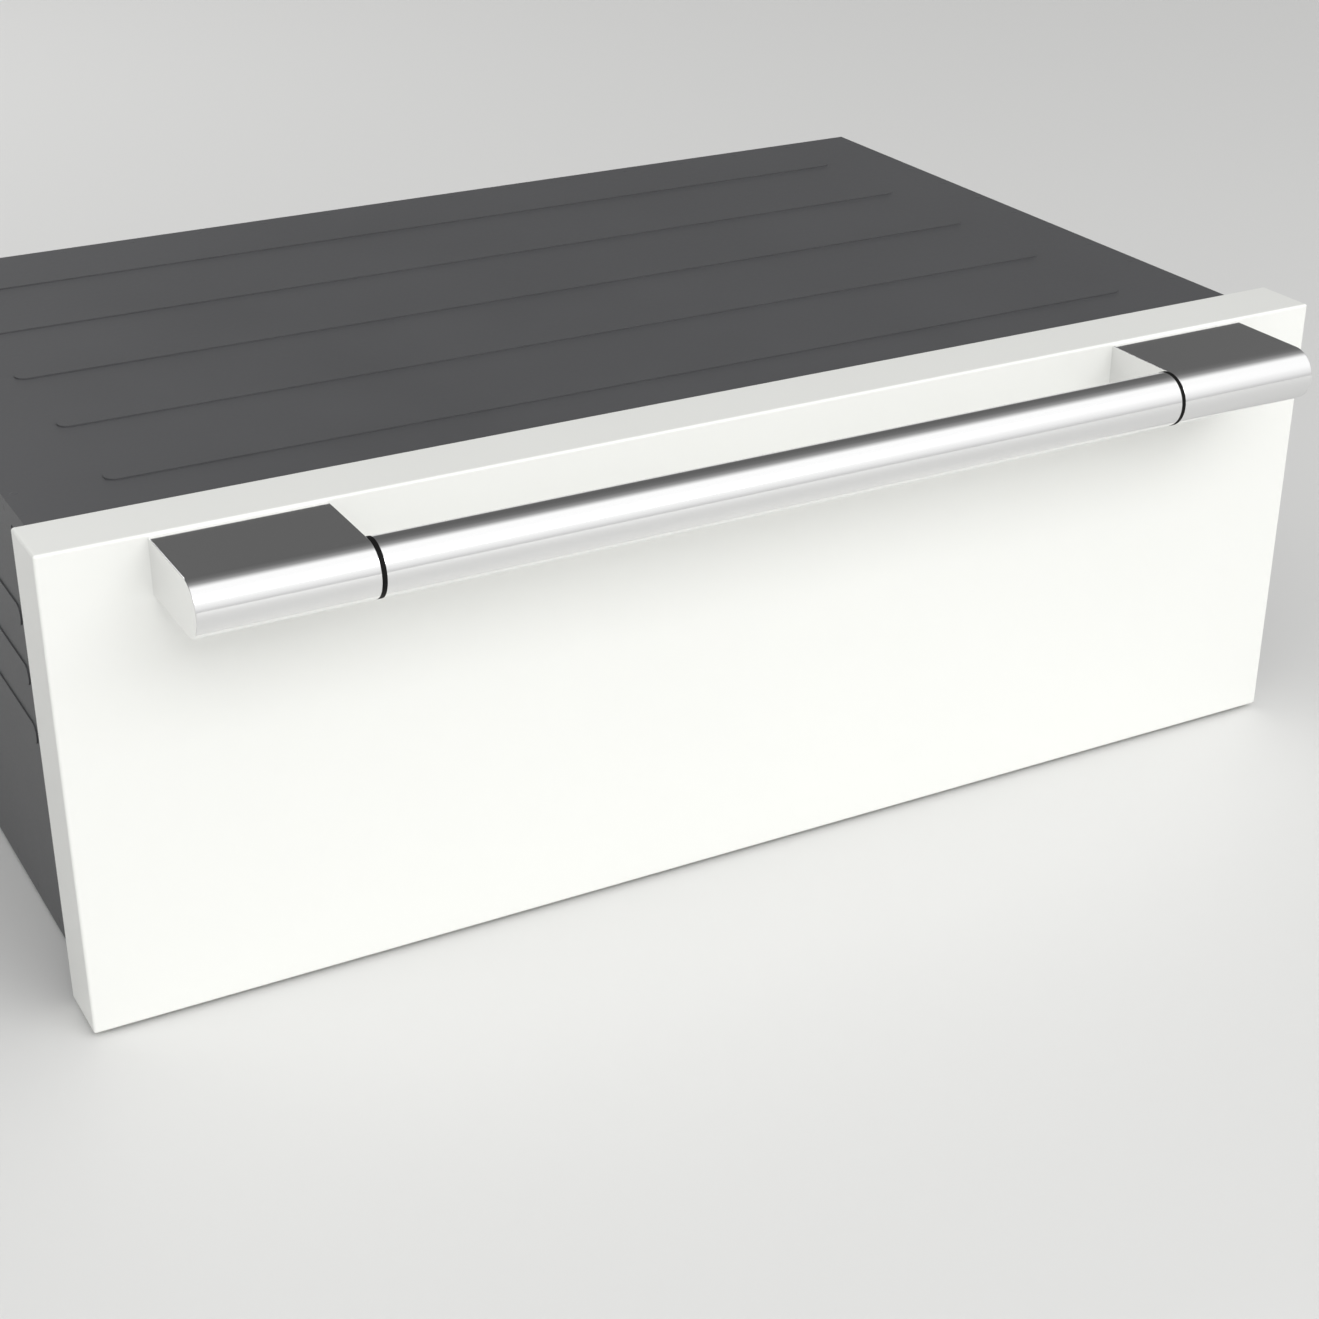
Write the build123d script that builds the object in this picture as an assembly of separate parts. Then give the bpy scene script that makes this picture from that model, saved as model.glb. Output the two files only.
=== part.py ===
from build123d import *
import math
import os

os.makedirs("parts", exist_ok=True)

# Built-in dishwasher of the single-drawer type. Millimetres, +Z up, front towards -Y.
# The origin is the middle of the overall box, on the plane that the skids stand on.

# ---- driving sizes: front and handle ----
FRONT_WIDTH = 895.0          # white drawer front
FRONT_HEIGHT = 312.0
FRONT_THICKNESS = 43.5       # how far the front stands proud of the cabinet
FRONT_LIFT = 3.0             # front's lower edge above the skids
FRONT_EDGE = 1.7             # edge radius of the folded front
FRONT_SHEET = 1.2
HANDLE_REACH = 77.0          # front face to the nose of the handle
HANDLE_DIAMETER = 35.0       # bar diameter, and the height of the blocks
HANDLE_WALL = 2.0
BLOCK_WIDTH = 106.0
BLOCK_INSET = 63.5           # front's side edge to the block's outer face
BLOCK_DROP = 2.0             # front's top edge to the block's flat top
BLOCK_WALL = 4.0
BLOCK_EDGE = 0.6
RING_WIDTH = 2.7             # black ring between block and bar
RING_PROUD = 0.15
SPIGOT_DIAMETER = 20.0       # dowel that carries the bar in each block
SPIGOT_LENGTH = 34.0
HANDLE_SCREW = 6.0
HANDLE_SCREW_SPACING = 60.0

# ---- driving sizes: chassis ----
FRONT_OVERHANG = 13.5        # front's side edge beyond the chassis side
FRONT_COVER = 11.0           # front's upper edge above the chassis
CHASSIS_DEPTH = 530.0
SEAL_SPACE = 3.0             # front's back face to the chassis
SERVICE_REACH = 22.0         # water fittings behind the back panel
SHEET = 1.2
SKID_HEIGHT = 4.0
SKID_WIDTH = 30.0
FLANGE = 14.0
MOUTH_MARGIN = 7.5           # width of the front frame
BEAD_HEIGHT = 1.0            # pressed stiffening beads
BEAD_WIDTH = 14.0
CABINET_HOLE = 5.0
CABINET_HOLE_INSET = 55.0    # from the chassis front and back
CABINET_HOLE_MARGIN = 13.4   # above the slide and below the roof
CHASSIS_SCREW = 4.0

# ---- driving sizes: slides ----
SLIDE_HEIGHT = 46.0
SLIDE_STACK = 13.0
SLIDE_SHORTFALL = 30.0       # slides shorter than the chassis
SLIDE_GAUGE = 1.2
SLIDE_CENTRE = 93.0
BALL_SPACE = 3.0
BALL_RADIUS = 1.2
BALLS_PER_ROW = 6

# ---- driving sizes: tub and lid ----
REAR_SPACE = 46.8            # tub to the back panel, for hoses and wiring
TUB_WALL = 3.0
TUB_UNDERSIDE = 66.0
TUB_CORNER = 34.0
TUB_FLOOR_RADIUS = 10.0
RIM_WIDTH = 6.0
RUNNER_RAIL = 4.8            # moulded rail between tub and slide
CONTROL_DEPTH = 32.0         # space between the front and the tub
GASKET_HEIGHT = 4.0
GASKET_WIDTH = 6.0
LID_THICKNESS = 10.0
LID_SKIN = 2.0
LID_LIFT = 8.0
LID_ROOM = 4.5               # lifted lid to the roof
LID_PIN = 6.0
LID_PIN_INSET = 60.0

# ---- driving sizes: wash system ----
SUMP_DIAMETER = 150.0
SUMP_WALL = 2.5
SUMP_BOTTOM = 14.0
FILTER_DIAMETER = 164.0
FILTER_HOLE = 4.0
FILTER_CUP_DIAMETER = 68.0
ARM_THICKNESS = 12.0
ARM_LIFT = 10.0              # arm above the tub floor
ARM_WIDTH = 52.0
ARM_TIP_WIDTH = 30.0
ARM_SIDE_CLEARANCE = 11.0
ARM_WALL = 2.0
NOZZLE_DIAMETER = 3.2
NOZZLES_PER_SIDE = 5
NECK_DIAMETER = 18.0
PIPE_DIAMETER = 22.0
PIPE_WALL = 2.5
PIPE_HEIGHT = 45.0
MANIFOLD_OFFSET = 97.0
PUMP_OFFSET_X = 88.0
PUMP_OFFSET_Y = 45.0
PUMP_HEIGHT = 39.5
WASH_PUMP_DIAMETER = 50.0
WASH_PUMP_LENGTH = 24.0
WASH_MOTOR_DIAMETER = 48.0
WASH_MOTOR_LENGTH = 78.0
DRAIN_PUMP_DIAMETER = 40.0
DRAIN_PUMP_LENGTH = 20.0
DRAIN_MOTOR_LENGTH = 50.0
HEATER_RADIUS = 105.0
HEATER_TUBE = 6.5

# ---- driving sizes: rack ----
RACK_WIRE = 4.0
TINE_WIRE = 3.6
RACK_SIDE_GAP = 12.0         # rack to tub wall
RACK_FRONT_GAP = 29.0
RACK_BACK_GAP = 13.0
RACK_FLOOR = 100.0
RACK_DROP = 18.0             # rack's top wire below the tub's rim
RACK_PITCH = 34.0            # mesh of the floor wires, at most
LEG_RADIUS = 3.0
CLIP_GRIP = 1.4              # snap clips reach this far above a rod's axis
RACK_SIDE_PITCH = 62.0
TINE_PITCH = 36.0
TINE_HEIGHT = 85.0
BOWL_TINE_HEIGHT = 52.0
ROW_MESHES = 3               # floor meshes from one tine row to the next
ROW_IN_MESH = 0.25           # a row's place between two floor wires, as a share of the mesh
ROW_SHELF_GAP = 44.0         # least room between the lowered cup shelf and the first row
ROW_BASKET_GAP = 100.0       # least room between the last row and the basket
FOLD_ROW_COUNT = 2
ROW_END_MARGIN = 26.0
SHELF_DROP = 5.0             # upright shelf below the rack's top wire
SHELF_REACH = 88.0
SHELF_LENGTH = 300.0
BASKET_WIDTH = 92.0
BASKET_DEPTH = 240.0
BASKET_DROP = 32.0           # basket below the rack's top wire
BASKET_WALL = 2.0

# ---- driving sizes: dispenser and controls ----
DISPENSER_CENTRE_X = -100.0
DISPENSER_WIDTH = 150.0
DISPENSER_HEIGHT = 66.0
DISPENSER_BASE = 120.0
DISPENSER_DEPTH = 16.0
CUP_WIDTH = 48.0
CUP_HEIGHT = 44.0
FASCIA_HEIGHT = 32.0
FASCIA_DROP = 3.5            # fascia below the chassis mouth
FASCIA_WALL = 2.0
BUTTON_WIDTH = 24.0
BUTTON_DEPTH = 12.0
BUTTON_PROUD = 1.2
BUTTON_PITCH = 40.0
WINDOW_WIDTH = 70.0
WINDOW_DEPTH = 14.0

# ---- driving sizes: services ----
INLET_THREAD = 26.4          # G3/4 male thread
INLET_BORE = 15.0
DRAIN_SPIGOT_DIAMETER = 18.0
GLAND_DIAMETER = 20.0
COLLAR_WIDTH = 2.8           # shoulder where a fitting passes the back panel
COLLAR_PROUD = 1.5
GLAND_BORE = 8.5
HOSE_DIAMETER = 16.0

# ---- named clearances ----
TOUCH = 0.3                  # soft or curved faces that almost touch
SCREW_FIT = 0.05             # radial, screw in its hole
RUNNING_FIT = 0.08           # radial, shaft in its bearing
SLIP = 0.2                   # sheet inside folded sheet

# ---- derived places ----
NOSE_Y = -(HANDLE_REACH + FRONT_THICKNESS + SEAL_SPACE + CHASSIS_DEPTH + SERVICE_REACH) / 2
FRONT_Y = NOSE_Y + HANDLE_REACH
FRONT_BACK = FRONT_Y + FRONT_THICKNESS
CHASSIS_FRONT = FRONT_BACK + SEAL_SPACE
CHASSIS_BACK = CHASSIS_FRONT + CHASSIS_DEPTH
SERVICE_END = CHASSIS_BACK + SERVICE_REACH
BACK_INNER = CHASSIS_BACK - SHEET
FRONT_HALF = FRONT_WIDTH / 2
FRONT_TOP = FRONT_LIFT + FRONT_HEIGHT
CHASSIS_HALF = FRONT_HALF - FRONT_OVERHANG
CHASSIS_HEIGHT = FRONT_TOP - FRONT_COVER
WEB_INNER = CHASSIS_HALF - SHEET
PAN_TOP = SKID_HEIGHT + SHEET
ROOF = CHASSIS_HEIGHT - SHEET
MOUTH_HALF = CHASSIS_HALF - MOUTH_MARGIN
MOUTH_BOTTOM = SKID_HEIGHT + MOUTH_MARGIN
MOUTH_TOP = CHASSIS_HEIGHT - MOUTH_MARGIN + 1.0
HANDLE_RADIUS = HANDLE_DIAMETER / 2
HANDLE_Z = FRONT_TOP - BLOCK_DROP - HANDLE_RADIUS
HANDLE_Y = NOSE_Y + HANDLE_RADIUS
BLOCK_OUTER = FRONT_HALF - BLOCK_INSET
BLOCK_INNER = BLOCK_OUTER - BLOCK_WIDTH
BLOCK_CENTRE = (BLOCK_OUTER + BLOCK_INNER) / 2
BAR_HALF = BLOCK_INNER - RING_WIDTH
SLIDE_FACE = WEB_INNER - SLIDE_STACK
SLIDE_START = CHASSIS_FRONT + SHEET + SHEET + TOUCH
SLIDE_LENGTH = CHASSIS_DEPTH - SLIDE_SHORTFALL
SLIDE_TOP = SLIDE_CENTRE + SLIDE_HEIGHT / 2
TUB_HALF = SLIDE_FACE - RUNNER_RAIL
TUB_FRONT = CHASSIS_FRONT + CONTROL_DEPTH
TUB_BACK = BACK_INNER - REAR_SPACE
TUB_DEPTH = TUB_BACK - TUB_FRONT
TUB_Y = (TUB_FRONT + TUB_BACK) / 2
TUB_FLOOR = TUB_UNDERSIDE + TUB_WALL
TUB_INNER = TUB_HALF - TUB_WALL
RIM_HALF = TUB_HALF + RIM_WIDTH
LID_TOP = ROOF - LID_ROOM - LID_LIFT
LID_UNDERSIDE = LID_TOP - LID_THICKNESS
TUB_RIM_TOP = LID_UNDERSIDE - TOUCH - GASKET_HEIGHT
RACK_TOP = TUB_RIM_TOP - RACK_DROP
ARM_CENTRE = TUB_INNER / 2
ARM_RADIUS = min(ARM_CENTRE, TUB_DEPTH / 2 - TUB_WALL) - ARM_SIDE_CLEARANCE
ARM_BASE = TUB_FLOOR + ARM_LIFT
ARM_TOP = ARM_BASE + ARM_THICKNESS
SUMP_RADIUS = SUMP_DIAMETER / 2
NECK_RADIUS = NECK_DIAMETER / 2
RACK_HALF = TUB_INNER - RACK_SIDE_GAP
RACK_FRONT = TUB_FRONT + TUB_WALL + RACK_FRONT_GAP
RACK_BACK = TUB_BACK - TUB_WALL - RACK_BACK_GAP
WIRE_RADIUS = RACK_WIRE / 2
TINE_RADIUS = TINE_WIRE / 2
UPPER_WIRE = RACK_FLOOR + RACK_WIRE * 0.85
RACK_SEAT = UPPER_WIRE + WIRE_RADIUS
ROW_ROD_Z = RACK_FLOOR + RACK_WIRE + TOUCH
SHELF_X = -(RACK_HALF - WIRE_RADIUS - 6.0)
SHELF_Y = TUB_Y + 10.0
SHELF_HEIGHT = RACK_TOP - SHELF_REACH - SHELF_DROP
BASKET_RIGHT = RACK_HALF - WIRE_RADIUS - 8.0
BASKET_FRONT = RACK_FRONT + 12.0
BASKET_BASE = RACK_SEAT + TOUCH
BASKET_HEIGHT = RACK_TOP - BASKET_DROP - BASKET_BASE
MESH = 2 * RACK_HALF / math.ceil(2 * RACK_HALF / RACK_PITCH)
ROW_PITCH = ROW_MESHES * MESH
FIRST_ROW_LIMIT = SHELF_X + SHELF_REACH + ROW_SHELF_GAP
FIRST_ROW_MESH = math.ceil((FIRST_ROW_LIMIT + RACK_HALF) / MESH - ROW_IN_MESH) + ROW_IN_MESH
FIRST_ROW = FIRST_ROW_MESH * MESH - RACK_HALF
LAST_ROW_LIMIT = BASKET_RIGHT - BASKET_WIDTH - ROW_BASKET_GAP
ROW_COUNT = int((LAST_ROW_LIMIT - FIRST_ROW) / ROW_PITCH) + 1
ROWS = [FIRST_ROW + i * ROW_PITCH for i in range(ROW_COUNT)]
FOLD_ROWS = ROWS[:FOLD_ROW_COUNT]
BOWL_ROWS = ROWS[FOLD_ROW_COUNT:]
DISPENSER_BACK = TUB_FRONT + TUB_WALL
DISPENSER_FACE = DISPENSER_BACK + DISPENSER_DEPTH
FASCIA_FRONT = FRONT_BACK
FASCIA_BACK = TUB_FRONT - RIM_WIDTH - 1.8
FASCIA_TOP = MOUTH_TOP - FASCIA_DROP
FASCIA_BASE = FASCIA_TOP - FASCIA_HEIGHT
SIDES = (("left", -1), ("right", 1))


# ---- shape helpers ----
def block(x0, x1, y0, y1, z0, z1):
    """A box between two corners, given in either order along X."""
    size = Box(abs(x1 - x0), y1 - y0, z1 - z0)
    return Pos((x0 + x1) / 2, (y0 + y1) / 2, (z0 + z1) / 2) * size


def rod_x(radius, x0, x1, y, z):
    return Pos((x0 + x1) / 2, y, z) * Rot(0, 90, 0) * Cylinder(radius, abs(x1 - x0))


def rod_y(radius, x, y0, y1, z):
    return Pos(x, (y0 + y1) / 2, z) * Rot(90, 0, 0) * Cylinder(radius, y1 - y0)


def rod_z(radius, x, y, z0, z1):
    return Pos(x, y, (z0 + z1) / 2) * Cylinder(radius, z1 - z0)


def joined(pieces):
    """One part from a list of solids, fused where they meet."""
    return Part() + list(pieces)


def rounded_plate(half_x, y0, y1, z0, z1, radius):
    """A plate about X = 0 with rounded corners in plan."""
    outline = RectangleRounded(2 * half_x, y1 - y0, radius)
    return Pos(0, (y0 + y1) / 2, z0) * extrude(outline, z1 - z0)


def evenly(first, last, pitch):
    """Places from first to last, no further apart than pitch."""
    steps = max(1, math.ceil(abs(last - first) / pitch))
    return [first + (last - first) * i / steps for i in range(steps + 1)]


def write(shape, node):
    export_step(shape, "parts/" + node + ".step")


# ---- front and handle ----
def front_screw_places():
    for _, side in SIDES:
        for offset in (-HANDLE_SCREW_SPACING / 2, HANDLE_SCREW_SPACING / 2):
            yield side * BLOCK_CENTRE + offset


def front_skin():
    """White folded pan, open at the back."""
    shell = block(-FRONT_HALF, FRONT_HALF, FRONT_Y, FRONT_BACK, FRONT_LIFT, FRONT_TOP)
    face_edges = shell.edges().group_by(Axis.Y)[0]
    corner_edges = shell.edges().filter_by(Axis.Y)
    shell = fillet(face_edges + corner_edges, FRONT_EDGE)
    inner = FRONT_HALF - FRONT_SHEET
    hollow = block(-inner, inner, FRONT_Y + FRONT_SHEET, FRONT_BACK + 1,
                   FRONT_LIFT + FRONT_SHEET, FRONT_TOP - FRONT_SHEET)
    shell -= hollow
    hole = HANDLE_SCREW / 2 + SCREW_FIT
    for x in front_screw_places():
        shell -= rod_y(hole, x, FRONT_Y - 1, FRONT_Y + FRONT_SHEET + 1, HANDLE_Z)
    return shell


def front_core():
    """Sound-damping slab that fills the front, with pockets for the screw heads."""
    inner = FRONT_HALF - FRONT_SHEET - 1.0
    slab = block(-inner, inner, FRONT_Y + FRONT_SHEET + SLIP, FRONT_BACK - SHEET - SLIP,
                 FRONT_LIFT + FRONT_SHEET + 1.0, FRONT_TOP - FRONT_SHEET - 1.0)
    for x in front_screw_places():
        slab -= rod_y(HANDLE_SCREW * 1.5, x, FRONT_Y, FRONT_Y + 14.0, HANDLE_Z)
    return slab


def front_inner_panel():
    """Plate that closes the front's back."""
    inner = FRONT_HALF - FRONT_SHEET - SLIP
    return block(-inner, inner, FRONT_BACK - SHEET, FRONT_BACK,
                 FRONT_LIFT + FRONT_SHEET + SLIP, FRONT_TOP - FRONT_SHEET - SLIP)


def front_seal():
    """Soft frame on the front's back that lands on the chassis mouth."""
    outer = CHASSIS_HALF - 1.0
    inner = MOUTH_HALF - TOUCH
    depth = SEAL_SPACE - TOUCH
    ring = block(-outer, outer, FRONT_BACK, FRONT_BACK + depth, SKID_HEIGHT + 1, CHASSIS_HEIGHT - 1)
    ring -= block(-inner, inner, FRONT_BACK - 1, FRONT_BACK + depth + 1,
                  MOUTH_BOTTOM + 0.5, MOUTH_TOP - 0.5)
    return ring


def front_bridge():
    """Box section that ties the front to the tub."""
    outer = TUB_HALF - TUB_CORNER
    z0 = TUB_UNDERSIDE + 24.0
    bridge = block(-outer, outer, FRONT_BACK, TUB_FRONT, z0, FASCIA_BASE)
    inner = outer - 2.0
    bridge -= block(-inner, inner, FRONT_BACK - 1, TUB_FRONT + 1, z0 + 2.0, FASCIA_BASE - 2.0)
    for x in evenly(-inner, inner, 260.0)[1:-1]:
        bridge += block(x - 1.0, x + 1.0, FRONT_BACK, TUB_FRONT, z0, FASCIA_BASE)
    return bridge


def block_profile(side, grow):
    """Outer form of a handle block: flat top and bottom with a half-round nose."""
    radius = HANDLE_RADIUS + grow
    x0 = side * (BLOCK_INNER - grow)
    x1 = side * (BLOCK_OUTER + grow)
    body = block(x0, x1, HANDLE_Y, FRONT_Y, HANDLE_Z - radius, HANDLE_Z + radius)
    return body + rod_x(radius, x0, x1, HANDLE_Y, HANDLE_Z)


def at_panel(edge):
    """True for a block's edges that lie on the drawer front."""
    return edge.center().Y > FRONT_Y - 0.1


def handle_block(side):
    """Cast block, hollow from the back, with two screw bosses and a socket for the bar."""
    body = block_profile(side, 0.0)
    end_faces = body.faces().sort_by(Axis.X)
    ends = (end_faces[0].edges() + end_faces[-1].edges()).filter_by(at_panel, reverse=True)
    body = fillet(ends, BLOCK_EDGE)
    core = block_profile(side, -BLOCK_WALL)
    socket_reach = SPIGOT_LENGTH / 2
    socket = rod_x(SPIGOT_DIAMETER / 2 + BLOCK_WALL, side * BLOCK_INNER,
                   side * (BLOCK_INNER + socket_reach + BLOCK_WALL), HANDLE_Y, HANDLE_Z)
    hollow = core - socket
    for offset in (-HANDLE_SCREW_SPACING / 2, HANDLE_SCREW_SPACING / 2):
        x = side * BLOCK_CENTRE + offset
        hollow -= rod_y(HANDLE_SCREW, x, NOSE_Y, FRONT_Y, HANDLE_Z)
    body -= hollow
    for offset in (-HANDLE_SCREW_SPACING / 2, HANDLE_SCREW_SPACING / 2):
        x = side * BLOCK_CENTRE + offset
        body -= rod_y(HANDLE_SCREW / 2 + SCREW_FIT, x, FRONT_Y - 20.0, FRONT_Y + 1, HANDLE_Z)
    body -= rod_x(SPIGOT_DIAMETER / 2 + SCREW_FIT, side * (BLOCK_INNER - 1),
                  side * (BLOCK_INNER + socket_reach), HANDLE_Y, HANDLE_Z)
    return body


def handle_bar():
    bar = rod_x(HANDLE_RADIUS, -BAR_HALF, BAR_HALF, HANDLE_Y, HANDLE_Z)
    bar -= rod_x(HANDLE_RADIUS - HANDLE_WALL, -BAR_HALF - 1, BAR_HALF + 1, HANDLE_Y, HANDLE_Z)
    return bar


def handle_rings():
    """The two black rings, each with the dowel that carries the bar's end."""
    pieces = []
    for _, side in SIDES:
        dowel_end = BLOCK_INNER + SPIGOT_LENGTH / 2 - 1.0
        ring = rod_x(HANDLE_RADIUS + RING_PROUD, side * BAR_HALF, side * BLOCK_INNER, HANDLE_Y, HANDLE_Z)
        plug = rod_x(HANDLE_RADIUS - HANDLE_WALL - SCREW_FIT, side * (BAR_HALF - SPIGOT_LENGTH / 2),
                     side * BAR_HALF, HANDLE_Y, HANDLE_Z)
        dowel = rod_x(SPIGOT_DIAMETER / 2, side * BLOCK_INNER, side * dowel_end, HANDLE_Y, HANDLE_Z)
        pieces.append(ring + plug + dowel)
    return joined(pieces)


def handle_screws():
    """Screws through the front skin into the blocks, heads inside the front."""
    pieces = []
    inside = FRONT_Y + FRONT_SHEET
    for x in front_screw_places():
        shank = rod_y(HANDLE_SCREW / 2, x, FRONT_Y - 18.0, inside, HANDLE_Z)
        head = rod_y(HANDLE_SCREW, x, inside, inside + 5.0, HANDLE_Z)
        recess = rod_y(HANDLE_SCREW * 0.45, x, inside + 2.0, inside + 6.0, HANDLE_Z)
        pieces.append(shank + head - recess)
    return joined(pieces)


# ---- chassis ----
def slide_screw_places():
    return evenly(SLIDE_START + 40.0, SLIDE_START + SLIDE_LENGTH - 40.0, 230.0)


def cabinet_hole_places():
    for y in (CHASSIS_FRONT + CABINET_HOLE_INSET, CHASSIS_BACK - CABINET_HOLE_INSET):
        for z in (SLIDE_TOP + CABINET_HOLE_MARGIN, ROOF - CABINET_HOLE_MARGIN):
            yield y, z


def back_screw_places():
    for _, side in SIDES:
        for z in (PAN_TOP + 24.0, (PAN_TOP + ROOF) / 2, ROOF - 24.0):
            yield side * (WEB_INNER - FLANGE / 2), z


def side_panel(side):
    """Web with flanges turned in at the top, bottom and back, beads and screw holes."""
    y0 = CHASSIS_FRONT + SHEET
    inner = side * WEB_INNER
    lip = side * (WEB_INNER - FLANGE)
    panel = block(inner, side * CHASSIS_HALF, y0, BACK_INNER, PAN_TOP, ROOF)
    panel += block(lip, inner, y0, BACK_INNER, PAN_TOP, PAN_TOP + SHEET)
    panel += block(lip, inner, y0, BACK_INNER, ROOF - SHEET, ROOF)
    panel += block(lip, inner, BACK_INNER - SHEET, BACK_INNER, PAN_TOP, ROOF)
    for z in evenly(SLIDE_TOP + 34.0, ROOF - 72.8, 40.0):
        bead = block(side * CHASSIS_HALF, side * (CHASSIS_HALF + BEAD_HEIGHT), y0 + 60.0,
                     BACK_INNER - 60.0, z - BEAD_WIDTH / 2, z + BEAD_WIDTH / 2)
        panel += fillet(bead.edges().filter_by(Axis.X), BEAD_WIDTH / 2 - 0.1)
    for y in slide_screw_places():
        panel -= rod_x(CHASSIS_SCREW / 2 + SCREW_FIT, side * (WEB_INNER - 1),
                       side * (CHASSIS_HALF + 1), y, SLIDE_CENTRE)
    for y, z in cabinet_hole_places():
        panel -= rod_x(CABINET_HOLE / 2, side * (WEB_INNER - 1), side * (CHASSIS_HALF + 3), y, z)
    for x, z in back_screw_places():
        if x * side > 0:
            panel -= rod_y(CHASSIS_SCREW / 2 + SCREW_FIT, x, BACK_INNER - 3, BACK_INNER + 1, z)
    return panel


def base_pan():
    """Floor of the chassis, with three beads pressed down into the space between the skids."""
    pan = block(-CHASSIS_HALF, CHASSIS_HALF, CHASSIS_FRONT + SHEET, CHASSIS_BACK, SKID_HEIGHT, PAN_TOP)
    for x in (-CHASSIS_HALF / 2, 0.0, CHASSIS_HALF / 2):
        bead = block(x - BEAD_WIDTH, x + BEAD_WIDTH, CHASSIS_FRONT + 70.0, CHASSIS_BACK - 70.0,
                     SKID_HEIGHT - BEAD_HEIGHT, SKID_HEIGHT)
        pan += fillet(bead.edges().filter_by(Axis.Z), BEAD_WIDTH - 0.1)
    return pan


def top_panel():
    """Roof of the chassis, with raised beads across it."""
    roof = block(-CHASSIS_HALF, CHASSIS_HALF, CHASSIS_FRONT + SHEET, CHASSIS_BACK, ROOF, CHASSIS_HEIGHT)
    reach = CHASSIS_HALF - 60.0
    for y in evenly(CHASSIS_FRONT + 70.0, CHASSIS_BACK - 70.0, 100.0):
        bead = block(-reach, reach, y - BEAD_WIDTH / 2, y + BEAD_WIDTH / 2,
                     CHASSIS_HEIGHT, CHASSIS_HEIGHT + BEAD_HEIGHT)
        roof += fillet(bead.edges().filter_by(Axis.Z), BEAD_WIDTH / 2 - 0.1)
    return roof


def fitting_holes():
    """Radius and place of the hole in the back panel for each fitting."""
    yield INLET_THREAD / 2 + COLLAR_WIDTH, INLET_X, INLET_Z
    yield DRAIN_SPIGOT_DIAMETER / 2 + COLLAR_WIDTH, DRAIN_X, DRAIN_Z
    yield GLAND_DIAMETER / 2, GLAND_X, GLAND_Z


def back_panel():
    """Rear wall with vent slots and the holes for the fittings."""
    wall = block(-CHASSIS_HALF, CHASSIS_HALF, BACK_INNER, CHASSIS_BACK, PAN_TOP, ROOF)
    slots = []
    for x in evenly(-CHASSIS_HALF / 2, CHASSIS_HALF / 2, 24.0):
        slots.append(block(x - 2.5, x + 2.5, BACK_INNER - 1, CHASSIS_BACK + 1, ROOF - 60.0, ROOF - 24.0))
    wall -= joined(slots)
    for radius, x, z in fitting_holes():
        wall -= rod_y(radius + SLIP, x, BACK_INNER - 1, CHASSIS_BACK + 1, z)
    for x, z in back_screw_places():
        wall -= rod_y(CHASSIS_SCREW / 2 + SCREW_FIT, x, BACK_INNER - 1, CHASSIS_BACK + 1, z)
    return wall


def front_frame():
    """Frame around the chassis mouth, notched where the slides pass."""
    frame = block(-CHASSIS_HALF, CHASSIS_HALF, CHASSIS_FRONT, CHASSIS_FRONT + SHEET,
                  SKID_HEIGHT, CHASSIS_HEIGHT)
    frame -= block(-MOUTH_HALF, MOUTH_HALF, CHASSIS_FRONT - 1, CHASSIS_FRONT + SHEET + 1,
                   MOUTH_BOTTOM, MOUTH_TOP)
    reach = SLIDE_HEIGHT / 2 + 1.0
    frame -= block(-WEB_INNER, WEB_INNER, CHASSIS_FRONT - 1, CHASSIS_FRONT + SHEET + 1,
                   SLIDE_CENTRE - reach, SLIDE_CENTRE + reach)
    return frame


def base_skids():
    """Two plastic runners that the machine stands on."""
    pieces = []
    for _, side in SIDES:
        x0 = side * (CHASSIS_HALF - 24.0 - SKID_WIDTH)
        skid = block(x0, x0 + side * SKID_WIDTH, CHASSIS_FRONT + 30.0, CHASSIS_BACK - 30.0, 0, SKID_HEIGHT)
        pieces.append(skid)
    return joined(pieces)


def chassis_screws():
    """Screws for the fixed slides and the back panel."""
    pieces = []
    for _, side in SIDES:
        for y in slide_screw_places():
            head = rod_x(CHASSIS_SCREW, side * CHASSIS_HALF, side * (CHASSIS_HALF + 2.2), y, SLIDE_CENTRE)
            shank = rod_x(CHASSIS_SCREW / 2, side * (WEB_INNER - SLIDE_GAUGE - 0.5),
                          side * CHASSIS_HALF, y, SLIDE_CENTRE)
            pieces.append(head + shank)
    for x, z in back_screw_places():
        head = rod_y(CHASSIS_SCREW, x, CHASSIS_BACK, CHASSIS_BACK + 2.2, z)
        shank = rod_y(CHASSIS_SCREW / 2, x, BACK_INNER - SHEET - 4.0, CHASSIS_BACK, z)
        pieces.append(head + shank)
    return joined(pieces)


# ---- slides ----
def channel(x_back, x_open, gauge, half_height):
    """A channel section along Y: back plate at x_back, lips that reach to x_open."""
    turn = 1 if x_open > x_back else -1
    y1 = SLIDE_START + SLIDE_LENGTH
    low = SLIDE_CENTRE - half_height
    high = SLIDE_CENTRE + half_height
    back = block(x_back, x_back + turn * gauge, SLIDE_START, y1, low, high)
    lower = block(x_back, x_open, SLIDE_START, y1, low, low + gauge)
    upper = block(x_back, x_open, SLIDE_START, y1, high - gauge, high)
    return back + lower + upper


OUTER_HALF = SLIDE_HEIGHT / 2
MIDDLE_HALF = OUTER_HALF - SLIDE_GAUGE - BALL_SPACE
INNER_HALF = MIDDLE_HALF - SLIDE_GAUGE - BALL_SPACE
MIDDLE_BACK = WEB_INNER - SLIDE_GAUGE - 1.0
LIP_END = SLIDE_FACE + 3.0


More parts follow.
